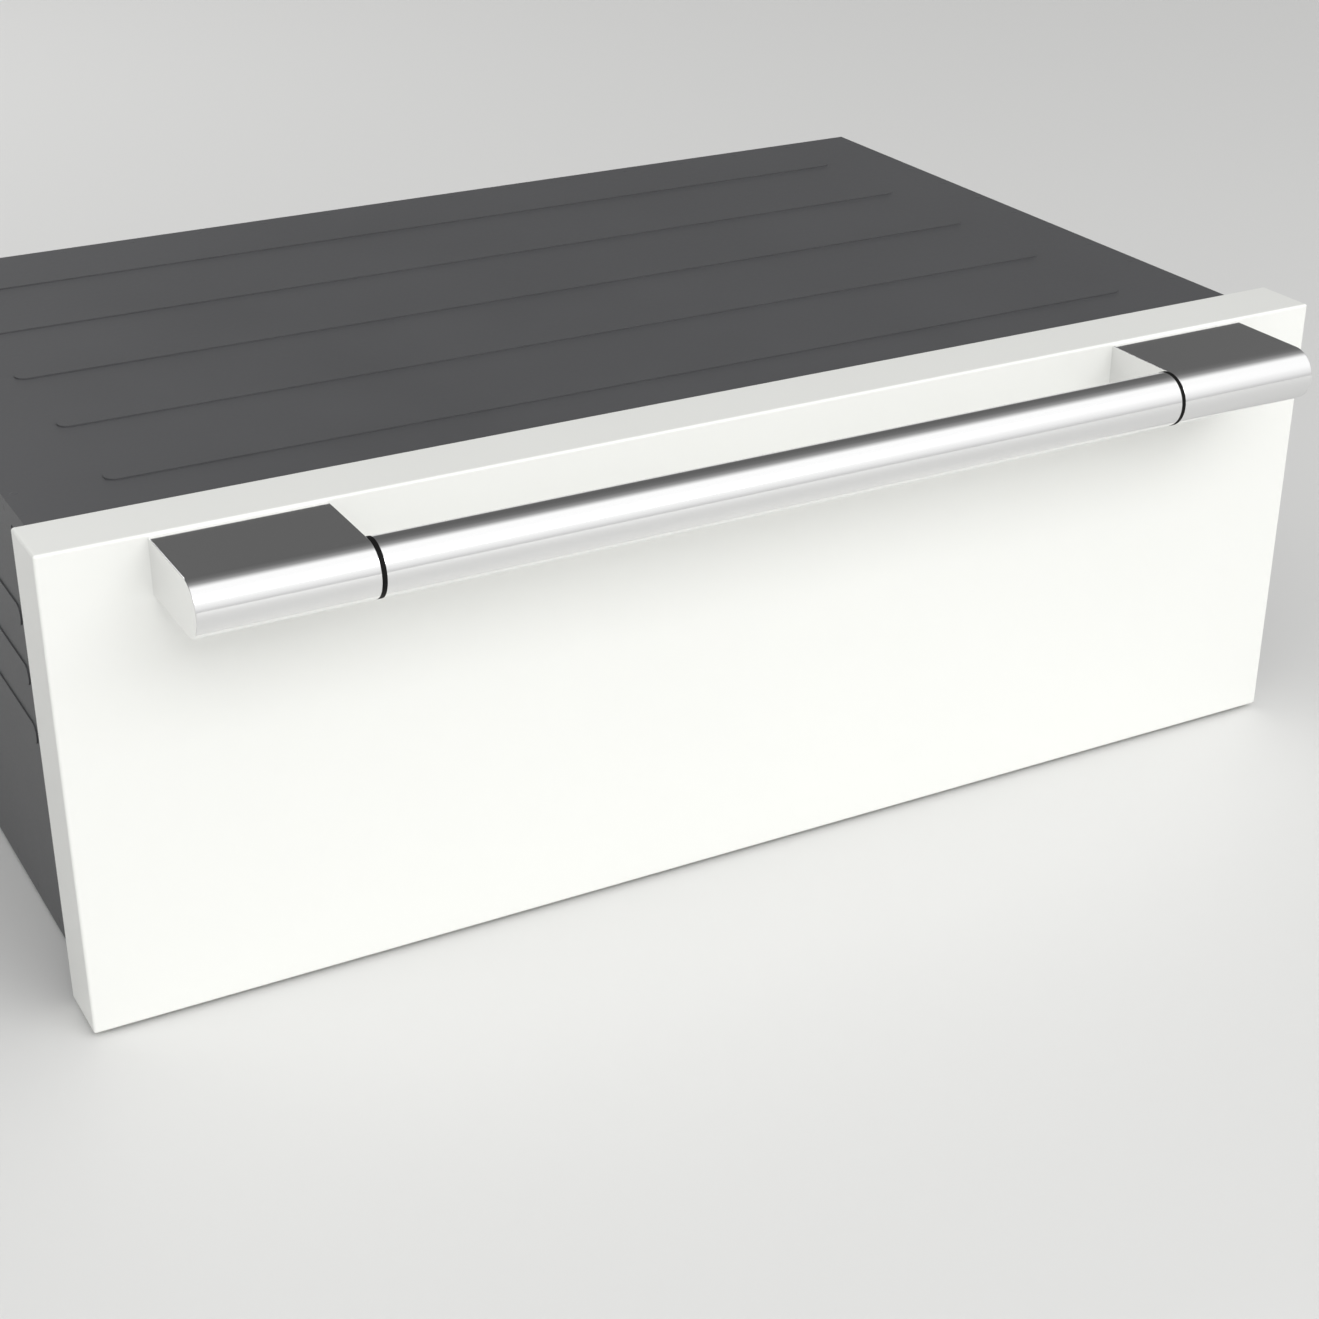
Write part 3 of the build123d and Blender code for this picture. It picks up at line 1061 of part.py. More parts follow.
def window_block(grow, z0):
    half_x = WINDOW_WIDTH / 2 + grow
    half_y = WINDOW_DEPTH / 2 + grow
    shape = block(WINDOW_X - half_x, WINDOW_X + half_x, BUTTON_Y - half_y, BUTTON_Y + half_y, z0, FASCIA_TOP + 1)
    return fillet(shape.edges().filter_by(Axis.Z), 2.0 + grow)


def button(x):
    """Key cap that stands a little proud of the fascia."""
    cap = button_block(x, 0.0, FASCIA_TOP - 9.0, FASCIA_TOP + BUTTON_PROUD)
    return fillet(cap.edges().group_by(Axis.Z)[-1], 0.8)


def display_window():
    """Clear window that lies flush in the fascia's recess."""
    pane = window_block(0.0, FASCIA_TOP - FASCIA_WALL)
    trim = block(-WINDOW_WIDTH, WINDOW_WIDTH, FASCIA_FRONT, FASCIA_BACK, FASCIA_TOP, FASCIA_TOP + 2)
    return pane - trim


# ---- services ----
INLET_X = WEB_INNER - 60.0
INLET_Z = 60.0
DRAIN_X = INLET_X - 72.0
DRAIN_Z = PUMP_HEIGHT
GLAND_X = -(WEB_INNER - 76.0)
GLAND_Z = 78.0
FITTING_FRONT = BACK_INNER - 30.0
COLLAR_END = CHASSIS_BACK + COLLAR_PROUD
HOSE_RADIUS = HOSE_DIAMETER / 2
HOSE_PORT_RADIUS = 6.0
HOSE_START_X = -(PUMP_OFFSET_X + DRAIN_PUMP_LENGTH / 2)
HOSE_START_Y = TUB_BACK - 28.0
HOSE_Y = (TUB_BACK + RIM_WIDTH + BACK_INNER) / 2 - 1.0
HOSE_END_X = DRAIN_X - 34.0
HOSE_TOP = TUB_RIM_TOP - 40.0
HOSE_MIDDLE = (HOSE_START_X + HOSE_END_X) / 2


def inlet_valve():
    """Fill valve inside the back panel, with its male thread outside."""
    body = block(INLET_X - 20.0, INLET_X + 20.0, FITTING_FRONT, BACK_INNER, INLET_Z - 24.0, INLET_Z + 24.0)
    body = fillet(body.edges().filter_by(Axis.Y), 4.0)
    body += rod_z(13.0, INLET_X, FITTING_FRONT + 14.0, INLET_Z + 24.0, INLET_Z + 52.0)
    body += rod_y(INLET_THREAD / 2 + COLLAR_WIDTH, INLET_X, BACK_INNER, COLLAR_END, INLET_Z)
    body += rod_y(INLET_THREAD / 2, INLET_X, COLLAR_END, SERVICE_END, INLET_Z)
    body -= rod_y(INLET_BORE / 2, INLET_X, BACK_INNER - 8.0, SERVICE_END + 1, INLET_Z)
    return body


def drain_spigot():
    """Drain outlet: a spigot outside, and an elbow inside that takes the hose."""
    radius = DRAIN_SPIGOT_DIAMETER / 2
    body = block(DRAIN_X - 15.0, DRAIN_X + 15.0, FITTING_FRONT, BACK_INNER, DRAIN_Z - 15.0, DRAIN_Z + 15.0)
    body = fillet(body.edges().filter_by(Axis.Y), 4.0)
    body += rod_y(radius + COLLAR_WIDTH, DRAIN_X, BACK_INNER, COLLAR_END, DRAIN_Z)
    body += rod_y(radius, DRAIN_X, COLLAR_END, SERVICE_END - 2.0, DRAIN_Z)
    body += rod_x(HOSE_PORT_RADIUS, HOSE_END_X, DRAIN_X - 15.0, HOSE_Y, DRAIN_Z)
    body -= rod_y(radius - 2.5, DRAIN_X, HOSE_Y, SERVICE_END, DRAIN_Z)
    body -= rod_x(HOSE_PORT_RADIUS - 2.0, HOSE_END_X - 1, DRAIN_X, HOSE_Y, DRAIN_Z)
    return body


def junction_box():
    """Mains terminal box with its cable gland outside the back panel."""
    body = block(GLAND_X - 45.0, GLAND_X + 45.0, FITTING_FRONT, BACK_INNER, GLAND_Z - 36.0, GLAND_Z + 36.0)
    body = fillet(body.edges().filter_by(Axis.Y), 5.0)
    body -= block(GLAND_X - 42.0, GLAND_X + 42.0, FITTING_FRONT + 3.0, BACK_INNER - 3.0,
                  GLAND_Z - 33.0, GLAND_Z + 33.0)
    body += rod_y(GLAND_DIAMETER / 2, GLAND_X, BACK_INNER - 3.0, SERVICE_END - 4.0, GLAND_Z)
    nut = RegularPolygon(GLAND_DIAMETER / 2 + 3.0, 6)
    body += Pos(GLAND_X, CHASSIS_BACK + 7.0, GLAND_Z) * Rot(90, 0, 0) * extrude(nut, 6.0)
    body -= rod_y(GLAND_BORE / 2, GLAND_X, BACK_INNER - 4.0, SERVICE_END, GLAND_Z)
    return body


def service_hose():
    """Drain hose from the drawer's pump to the elbow, looped behind the tub."""
    path_points = [
        (HOSE_START_X, HOSE_START_Y - 12.0, PUMP_HEIGHT),
        (HOSE_START_X, HOSE_Y, PUMP_HEIGHT),
        (HOSE_START_X + 62.0, HOSE_Y, PUMP_HEIGHT),
        (HOSE_MIDDLE - 52.0, HOSE_Y, HOSE_TOP),
        (HOSE_MIDDLE + 52.0, HOSE_Y, HOSE_TOP),
        (HOSE_END_X - 60.0, HOSE_Y, DRAIN_Z),
        (HOSE_END_X + 12.0, HOSE_Y, DRAIN_Z),
    ]
    path = FilletPolyline(*path_points, radius=[24.0, 30.0, 42.0, 42.0, 34.0])
    print("hose length", round(path.length, 1))
    section = Plane(origin=path @ 0, z_dir=path % 0)
    tube = sweep(section * Circle(HOSE_RADIUS), path=path)
    tube -= sweep(section * Circle(HOSE_PORT_RADIUS + RUNNING_FIT), path=path)
    return tube


def main():
    write(front_skin(), "front_skin")
    write(front_core(), "front_core")
    write(front_inner_panel(), "front_inner_panel")
    write(front_seal(), "front_seal")
    write(front_bridge(), "front_bridge")
    write(handle_bar(), "handle_bar")
    write(handle_rings(), "handle_rings")
    write(handle_screws(), "handle_screws")
    for name, side in SIDES:
        write(handle_block(side), "handle_block_" + name)
        write(side_panel(side), "side_panel_" + name)
        write(slide_outer(side), "slide_outer_" + name)
        write(slide_middle(side), "slide_middle_" + name)
        write(slide_inner(side), "slide_inner_" + name)
        write(spray_arm(side), "spray_arm_" + name)
    write(base_pan(), "base_pan")
    write(top_panel(), "top_panel")
    write(back_panel(), "back_panel")
    write(front_frame(), "front_frame")
    write(base_skids(), "base_skids")
    write(chassis_screws(), "chassis_screws")
    write(inlet_valve(), "inlet_valve")
    write(drain_spigot(), "drain_spigot")
    write(junction_box(), "junction_box")
    write(lid_guides(), "lid_guides")
    write(tub(), "tub")
    write(tub_gasket(), "tub_gasket")
    write(tub_lid(), "tub_lid")
    write(sump(), "sump")
    write(filter_plate(), "filter_plate")
    write(filter_cup(), "filter_cup")
    write(heating_element(), "heating_element")
    write(wash_manifold(), "wash_manifold")
    write(wash_pump(), "wash_pump")
    write(motor_shell(1, MOTOR_RADIUS, WASH_PUMP_LENGTH, WASH_MOTOR_LENGTH), "wash_motor")
    write(rotor(1, WASH_RADIUS, WASH_PUMP_LENGTH, MOTOR_RADIUS, WASH_MOTOR_LENGTH), "wash_rotor")
    write(drain_pump(), "drain_pump")
    write(rotor(-1, DRAIN_RADIUS, DRAIN_PUMP_LENGTH, DRAIN_RADIUS - 1.0, DRAIN_MOTOR_LENGTH), "drain_rotor")
    write(rack_floor(), "rack_floor")
    write(rack_sides(), "rack_sides")
    write(rack_ends(), "rack_ends")
    write(tine_rows_fixed(), "tine_rows_fixed")
    write(tine_row(FOLD_ROWS[0], TINE_HEIGHT), "tine_row_left")
    write(tine_row(FOLD_ROWS[1], TINE_HEIGHT), "tine_row_centre")
    write(cup_shelf(), "cup_shelf")
    write(cutlery_basket(), "cutlery_basket")
    write(dispenser_body(), "dispenser_body")
    write(dispenser_lid(), "dispenser_lid")
    write(rinse_cap(), "rinse_cap")
    write(control_fascia(), "control_fascia")
    write(display_window(), "display_window")
    for name, x in BUTTON_X.items():
        write(button(x), "button_" + name)
    write(service_hose(), "service_hose")


main()
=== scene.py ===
import math

import bmesh
import bpy
from bpy.props import FloatProperty, FloatVectorProperty, IntProperty, PointerProperty
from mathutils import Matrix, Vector


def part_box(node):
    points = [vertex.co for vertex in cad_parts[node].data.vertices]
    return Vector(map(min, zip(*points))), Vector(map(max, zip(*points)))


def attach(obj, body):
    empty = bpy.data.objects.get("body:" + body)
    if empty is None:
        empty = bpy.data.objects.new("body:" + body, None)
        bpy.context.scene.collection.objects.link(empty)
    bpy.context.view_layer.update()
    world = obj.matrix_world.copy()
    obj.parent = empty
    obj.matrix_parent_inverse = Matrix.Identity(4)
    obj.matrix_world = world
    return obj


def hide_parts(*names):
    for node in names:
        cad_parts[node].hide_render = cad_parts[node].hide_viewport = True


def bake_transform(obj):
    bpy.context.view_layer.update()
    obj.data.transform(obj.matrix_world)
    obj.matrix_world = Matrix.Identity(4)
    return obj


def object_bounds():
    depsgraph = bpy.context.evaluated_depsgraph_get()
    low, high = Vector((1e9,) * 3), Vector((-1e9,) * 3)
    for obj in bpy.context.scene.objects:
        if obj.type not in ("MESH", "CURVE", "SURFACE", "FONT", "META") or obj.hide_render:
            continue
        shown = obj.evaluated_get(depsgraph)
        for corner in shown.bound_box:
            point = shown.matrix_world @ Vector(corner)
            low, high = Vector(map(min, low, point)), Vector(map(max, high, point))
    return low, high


bl_info = {
    "name": "Drawer Dishwasher",
    "version": (1, 0, 0),
    "blender": (4, 5, 0),
    "location": "3D View > Sidebar > Dishwasher",
    "description": "Finishes, detail pieces and studio for a built-in drawer dishwasher",
    "category": "Object",
}

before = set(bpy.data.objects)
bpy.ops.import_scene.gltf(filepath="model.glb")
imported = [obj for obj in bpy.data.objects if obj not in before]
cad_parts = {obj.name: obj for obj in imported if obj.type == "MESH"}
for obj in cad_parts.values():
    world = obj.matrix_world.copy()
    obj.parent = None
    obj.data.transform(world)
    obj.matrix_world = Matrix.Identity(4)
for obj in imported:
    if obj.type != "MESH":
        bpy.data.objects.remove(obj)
cad_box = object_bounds()
MM = 0.001
SIDES = (("left", -1), ("right", 1))


# ---- sizes and colours that a user would change ----
def length(name, description, default):
    """A size in metres."""
    return FloatProperty(name=name, description=description, default=default, min=0.0, unit="LENGTH",
                         precision=5)


def colour(name, description, default):
    return FloatVectorProperty(name=name, description=description, default=default, min=0.0, max=1.0,
                               size=3, subtype="COLOR")


class FinishSettings(bpy.types.PropertyGroup):
    """Colours of the dishwasher's finishes."""
    front: colour("Front enamel", "White enamel of the drawer front", (0.86, 0.865, 0.835))
    chrome: colour("Chrome", "Bright plating of the handle", (0.81, 0.81, 0.805))
    coat: colour("Chassis coat", "Coated sheet round the chassis", (0.066, 0.067, 0.070))
    zinc: colour("Zinc", "Zinc-coated sheet under the machine", (0.47, 0.49, 0.50))
    stainless: colour("Stainless", "Slides, filter and heater", (0.56, 0.565, 0.57))
    tub: colour("Tub plastic", "Moulded tub and lid", (0.50, 0.52, 0.54))
    dark: colour("Dark plastic", "Pumps, sump and small housings", (0.035, 0.037, 0.040))
    spray: colour("Spray arm plastic", "Arms, filter cup and dispenser", (0.21, 0.225, 0.245))
    rack: colour("Rack coating", "Coating of the rack's wires", (0.47, 0.49, 0.51))
    felt: colour("Damping felt", "Mats on the tub and in the front", (0.055, 0.052, 0.048))


class DetailSettings(bpy.types.PropertyGroup):
    """Sizes of the modelled details."""
    hose_pitch: length("Hose pitch", "Spacing of the hose's corrugations", 4.2 * MM)
    hose_depth: length("Hose depth", "Depth of the hose's corrugations", 1.1 * MM)
    thread_pitch: length("Thread pitch", "Pitch of the water inlet's thread", 1.814 * MM)
    thread_depth: length("Thread depth", "Depth of the water inlet's thread", 1.1 * MM)
    mat_thickness: length("Mat thickness", "Thickness of the damping mats", 3.2 * MM)
    louvre_reach: length("Louvre reach", "How far the vent hoods stand out", 3.0 * MM)
    recess_depth: length("Screw recess depth", "Depth of the drive recess in a screw head", 1.3 * MM)
    round_segments: IntProperty(name="Round segments", description="Facets round a small round form",
                                default=24, min=8, max=96)


class StudioSettings(bpy.types.PropertyGroup):
    """Camera and light."""
    azimuth: FloatProperty(name="Camera azimuth", description="Heading of the view, from +Y towards +X",
                           default=math.radians(28.07), subtype="ANGLE")
    elevation: FloatProperty(name="Camera elevation", description="How far the view looks down",
                             default=math.radians(27.585), subtype="ANGLE")
    roll: FloatProperty(name="Camera roll", description="Small tilt of the horizon",
                        default=math.radians(-0.144), subtype="ANGLE")
    station: FloatVectorProperty(name="Camera station", size=3,
                                 description="Camera place from the front's lower middle, in front widths",
                                 default=(-0.7951, -1.3163, 0.9321))
    lens: FloatProperty(name="Lens", description="Focal length on a 36 mm sensor", default=64.89)
    shift: FloatVectorProperty(name="Shift", size=2, description="Lens shift", default=(0.0204, 0.0286))
    floor: colour("Floor", "Pale floor", (0.72, 0.72, 0.71))
    floor_size: length("Floor size", "Side of the floor", 14.0)


# ---- shader building ----
class Wire:
    """A shader value that can be used in arithmetic."""

    def __init__(self, graph, socket):
        self.graph = graph
        self.socket = socket

    def maths(self, operation, *values):
        return self.graph.add("ShaderNodeMath", {"operation": operation}, values)

    def __add__(self, other):
        return self.maths("ADD", self, other)

    def __radd__(self, other):
        return self.maths("ADD", other, self)

    def __sub__(self, other):
        return self.maths("SUBTRACT", self, other)

    def __rsub__(self, other):
        return self.maths("SUBTRACT", other, self)

    def __mul__(self, other):
        return self.maths("MULTIPLY", self, other)

    def __rmul__(self, other):
        return self.maths("MULTIPLY", other, self)

    def __truediv__(self, other):
        return self.maths("DIVIDE", self, other)

    def __pow__(self, other):
        return self.maths("POWER", self, other)


class Graph:
    """A node tree and the one way nodes are added to it."""

    def __init__(self, tree):
        self.tree = tree
        tree.nodes.clear()

    def add(self, kind, settings=None, inputs=(), output=0):
        node = self.tree.nodes.new(kind)
        for key, value in (settings or {}).items():
            if key == "stops":
                self.set_stops(node.color_ramp, value)
            else:
                setattr(node, key, value)
        pairs = inputs.items() if isinstance(inputs, dict) else enumerate(inputs)
        for key, value in pairs:
            if isinstance(value, Wire):
                self.tree.links.new(value.socket, node.inputs[key])
            else:
                node.inputs[key].default_value = value
        return Wire(self, node.outputs[output]) if node.outputs else node

    @staticmethod
    def set_stops(ramp, stops):
        while len(ramp.elements) < len(stops):
            ramp.elements.new(1.0)
        for element, (place, level) in zip(ramp.elements, stops):
            element.position = place
            element.color = (level, level, level, 1.0)

    def point(self, stretch=(1.0, 1.0, 1.0)):
        """The place on the piece in metres, stretched per axis."""
        place = self.add("ShaderNodeTexCoord", output="Object")
        if stretch == (1.0, 1.0, 1.0):
            return place
        return self.add("ShaderNodeVectorMath", {"operation": "MULTIPLY"}, (place, stretch))

    def noise(self, scale, detail=2.0, roughness=0.5, stretch=(1.0, 1.0, 1.0)):
        return self.add("ShaderNodeTexNoise", {}, {"Vector": self.point(stretch), "Scale": scale,
                                                   "Detail": detail, "Roughness": roughness})

    def cells(self, scale, feature="F1", output="Distance"):
        return self.add("ShaderNodeTexVoronoi", {"feature": feature},
                        {"Vector": self.point(), "Scale": scale}, output)

    def ramp(self, value, *stops):
        """Grey ramp from (place, level) stops."""
        return self.add("ShaderNodeValToRGB", {"stops": stops}, {"Fac": value})

    def blend(self, first, second, mask):
        """Mix of two colours by a mask."""
        inputs = {0: mask, 6: first, 7: second}
        return self.add("ShaderNodeMix", {"data_type": "RGBA"}, inputs, 2)

    def bump(self, height, distance, strength=1.0):
        return self.add("ShaderNodeBump", {}, {"Height": height, "Distance": distance, "Strength": strength})


def shade(rgb, factor):
    """A colour made darker or lighter, with full alpha."""
    return tuple(min(1.0, c * factor) for c in rgb[:3]) + (1.0,)


def new_material(name, build):
    """A material whose build function returns the values of the shader's sockets."""
    material = bpy.data.materials.new(name)
    material.use_nodes = True
    graph = Graph(material.node_tree)
    shader = graph.add("ShaderNodeBsdfPrincipled", {}, build(graph))
    graph.add("ShaderNodeOutputMaterial", {}, {"Surface": shader})
    return material


def enamel(graph):
    """Smooth white enamel with a trace of orange peel."""
    rgb = finishes().front
    tone = graph.noise(5.0, 3.0)
    peel = graph.noise(420.0, 2.0)
    return {
        "Base Color": graph.blend(shade(rgb, 0.985), shade(rgb, 1.01), tone),
        "Roughness": 0.30 + tone * 0.06,
        "Coat Weight": 0.25,
        "Coat Roughness": 0.08,
        "Normal": graph.bump(peel, 0.00004, 0.5),
    }


def chrome(graph):
    """Bright plating: almost a mirror, with faint polishing marks."""
    rgb = finishes().chrome
    marks = graph.noise(260.0, 3.0, 0.6, (0.15, 1.0, 1.0))
    haze = graph.noise(24.0, 2.0)
    return {
        "Base Color": graph.blend(shade(rgb, 0.98), shade(rgb, 1.0), haze),
        "Metallic": 1.0,
        "Roughness": 0.045 + haze * 0.02,
        "Normal": graph.bump(marks, 0.000004, 0.4),
    }


def ring_black(graph):
    """Dull black seal rings, almost without gloss."""
    grain = graph.noise(900.0, 2.0)
    return {
        "Base Color": graph.blend((0.005, 0.005, 0.005, 1.0), (0.009, 0.009, 0.009, 1.0), grain),
        "Roughness": 0.50 + grain * 0.1,
        "Specular IOR Level": 0.08,
    }


def graphite_coat(graph):
    """Dark baked coat on sheet steel, with fine texture and a little dust."""
    rgb = finishes().coat
    texture = graph.noise(380.0, 3.0, 0.55)
    dust = graph.noise(7.0, 5.0, 0.65)
    return {
        "Base Color": graph.blend(shade(rgb, 0.92), shade(rgb, 1.35), dust * 0.7 + texture * 0.3),
        "Roughness": 0.36 + texture * 0.08 + dust * 0.12,
        "Normal": graph.bump(texture, 0.00006, 0.6),
    }


def plated_screw(graph):
    """Bright zinc plating on small hardware."""
    film = graph.noise(180.0, 3.0, 0.6)
    return {
        "Base Color": graph.blend((0.46, 0.46, 0.45, 1.0), (0.62, 0.62, 0.60, 1.0), film),
        "Metallic": 1.0,
        "Roughness": 0.22 + film * 0.14,
    }


def zinc(graph):
    """Zinc-coated sheet with soft spangle and rolling marks."""
    rgb = finishes().zinc
    spangle = graph.cells(70.0, output="Color")
    grey = graph.add("ShaderNodeRGBToBW", {}, (spangle,))
    rolling = graph.noise(90.0, 4.0, 0.6, (1.0, 0.08, 1.0))
    stain = graph.noise(4.0, 4.0, 0.6)
    light = graph.blend(shade(rgb, 0.90), shade(rgb, 1.10), grey * 0.7 + rolling * 0.3)
    return {
        "Base Color": graph.blend(light, shade(rgb, 0.80), graph.ramp(stain, (0.50, 0.0), (0.75, 0.5))),
        "Metallic": 0.85,
        "Roughness": 0.36 + grey * 0.12 + stain * 0.08,
        "Normal": graph.bump(rolling + grey * 0.5, 0.00003, 0.5),
    }


def stainless(graph):
    """Stainless steel with a fine lengthwise brush."""
    rgb = finishes().stainless
    brush = graph.noise(700.0, 3.0, 0.7, (1.0, 0.02, 1.0))
    cloud = graph.noise(12.0, 3.0)
    return {
        "Base Color": graph.blend(shade(rgb, 0.88), shade(rgb, 1.06), brush),
        "Metallic": 1.0,
        "Roughness": 0.24 + brush * 0.10 + cloud * 0.06,
        "Normal": graph.bump(brush, 0.00001, 0.5),
    }


def heater_steel(graph):
    """Heater sheath, tinted by heat and scale."""
    rgb = finishes().stainless
    scale_marks = graph.noise(60.0, 4.0, 0.65)
    tint = graph.ramp(scale_marks, (0.45, 0.0), (0.70, 1.0))
    return {
        "Base Color": graph.blend(shade(rgb, 0.75), (0.42, 0.36, 0.28, 1.0), tint),
        "Metallic": 0.9,
        "Roughness": 0.32 + tint * 0.25,
        "Normal": graph.bump(scale_marks, 0.00003, 0.4),
    }


def moulded(rgb, gloss, grain=0.00003):
    """Moulded plastic with fine spark texture and slight flow marks."""
    def build(graph):
        spark = graph.noise(900.0, 2.0)
        flow = graph.noise(9.0, 3.0, 0.55, (0.4, 1.0, 1.0))
        return {
            "Base Color": graph.blend(shade(rgb, 0.93), shade(rgb, 1.05), flow),
            "Roughness": gloss + spark * 0.08 + flow * 0.05,
            "Normal": graph.bump(spark, grain, 0.5),
        }
    return build


def rubber(rgb):
    """Soft elastomer with a dull, dusty surface."""
    def build(graph):
        dust = graph.noise(30.0, 4.0, 0.6)
        pores = graph.noise(1500.0, 2.0)
        return {
            "Base Color": graph.blend(shade(rgb, 0.9), shade(rgb, 1.5),
                                      graph.ramp(dust, (0.4, 0.0), (0.8, 1.0))),
            "Roughness": 0.62 + dust * 0.18,
            "Normal": graph.bump(pores, 0.00003, 0.5),
        }
    return build


def wire_coating(graph):
    """Dipped coating on wire: smooth, slightly uneven, glossy."""
    rgb = finishes().rack
    dip = graph.noise(55.0, 2.0)
    return {
        "Base Color": graph.blend(shade(rgb, 0.94), shade(rgb, 1.04), dip),
        "Roughness": 0.30 + dip * 0.10,
        "Coat Weight": 0.15,
        "Normal": graph.bump(dip, 0.00012, 0.6),
    }


def felt(graph):
    """Pressed bitumen felt with short fibres."""
    rgb = finishes().felt
    fibre = graph.noise(650.0, 5.0, 0.75, (1.0, 1.0, 0.4))
    patch = graph.noise(18.0, 3.0)
    return {
        "Base Color": graph.blend(shade(rgb, 0.6), shade(rgb, 1.9), fibre * 0.7 + patch * 0.3),
        "Roughness": 0.88,
        "Normal": graph.bump(fibre, 0.00035, 0.8),
    }


def smoked_window(graph):
    """Dark tinted window, glossy, with faint wipe marks."""
    wipe = graph.noise(14.0, 3.0, 0.5, (0.3, 1.0, 1.0))
    return {
        "Base Color": graph.blend((0.010, 0.011, 0.013, 1.0), (0.018, 0.019, 0.022, 1.0), wipe),
        "Roughness": 0.06 + wipe * 0.05,
        "Coat Weight": 0.5,
    }


def motor_paint(graph):
    """Dark stove enamel on the motor can."""
    grain = graph.noise(500.0, 3.0)
    return {
        "Base Color": graph.blend((0.020, 0.021, 0.024, 1.0), (0.032, 0.033, 0.037, 1.0), grain),
        "Metallic": 0.2,
        "Roughness": 0.38 + grain * 0.12,
        "Normal": graph.bump(grain, 0.00004, 0.5),
    }


def ink(rgb):
    """Printed mark, a little uneven."""
    def build(graph):
        wear = graph.noise(800.0, 2.0)
        return {
            "Base Color": graph.blend(shade(rgb, 0.8), shade(rgb, 1.1), wear),
            "Roughness": 0.45 + wear * 0.1,
        }
    return build


def pale_floor(graph):
    """Plain pale floor."""
    rgb = studio().floor
    tone = graph.noise(0.8, 2.0)
    return {
        "Base Color": graph.blend(shade(rgb, 0.99), shade(rgb, 1.0), tone),
        "Roughness": 0.65,
    }


FINISH_OF = {
    "enamel": ("front_skin",),
    "chrome": ("handle_bar", "handle_block_left", "handle_block_right"),
    "ring_black": ("handle_rings",),
    "graphite_coat": ("side_panel_left", "side_panel_right", "top_panel", "back_panel"),
    "zinc": ("base_pan", "front_inner_panel"),
    "stainless": ("front_frame", "slide_outer_left", "slide_outer_right", "slide_middle_left",
                  "slide_middle_right", "slide_inner_left", "slide_inner_right", "filter_plate",
                  "wash_rotor", "chassis_screws", "handle_screws"),
    "heater_steel": ("heating_element",),
    "tub_plastic": ("tub", "tub_lid"),
    "dark_plastic": ("front_bridge", "base_skids", "inlet_valve", "drain_spigot", "junction_box",
                     "lid_guides", "sump", "wash_manifold", "wash_pump", "drain_pump",
                     "dispenser_lid", "rinse_cap"),
    "spray_plastic": ("spray_arm_left", "spray_arm_right", "filter_cup", "drain_rotor",
                      "dispenser_body"),
    "basket_plastic": ("cutlery_basket",),
    "wire_coating": ("rack_floor", "rack_sides", "rack_ends", "tine_rows_fixed", "tine_row_left",
                     "tine_row_centre", "cup_shelf"),
    "felt": ("front_core",),
    "rubber": ("front_seal", "service_hose"),
    "gasket_rubber": ("tub_gasket",),
    "fascia_plastic": ("control_fascia", "button_power", "button_program", "button_start"),
    "smoked_window": ("display_window",),
    "motor_paint": ("wash_motor",),
}


def finish_recipes():
    """Every finish by name, from the user's colours."""
    looks = finishes()
    return {
        "enamel": enamel,
        "chrome": chrome,
        "ring_black": ring_black,
        "graphite_coat": graphite_coat,
        "zinc": zinc,
        "stainless": stainless,
        "plated_screw": plated_screw,
        "heater_steel": heater_steel,
        "tub_plastic": moulded(looks.tub, 0.30),
        "dark_plastic": moulded(looks.dark, 0.42),
        "spray_plastic": moulded(looks.spray, 0.36),
        "basket_plastic": moulded(shade(looks.spray, 1.35), 0.38),
        "wire_coating": wire_coating,
        "felt": felt,
        "rubber": rubber((0.022, 0.022, 0.023)),
        "gasket_rubber": rubber((0.10, 0.105, 0.11)),
        "fascia_plastic": moulded((0.70, 0.70, 0.68), 0.26, 0.00001),
        "smoked_window": smoked_window,
        "motor_paint": motor_paint,
        "dark_ink": ink((0.05, 0.055, 0.06)),
        "signal_green": ink((0.10, 0.45, 0.16)),
    }


def finishes():
    return bpy.context.scene.dishwasher_finishes


def details():
    return bpy.context.scene.dishwasher_details


def studio():
    return bpy.context.scene.dishwasher_studio


def finish(name):
    """The named finish, made once."""
    found = bpy.data.materials.get(name)
    return found or new_material(name, finish_recipes()[name])


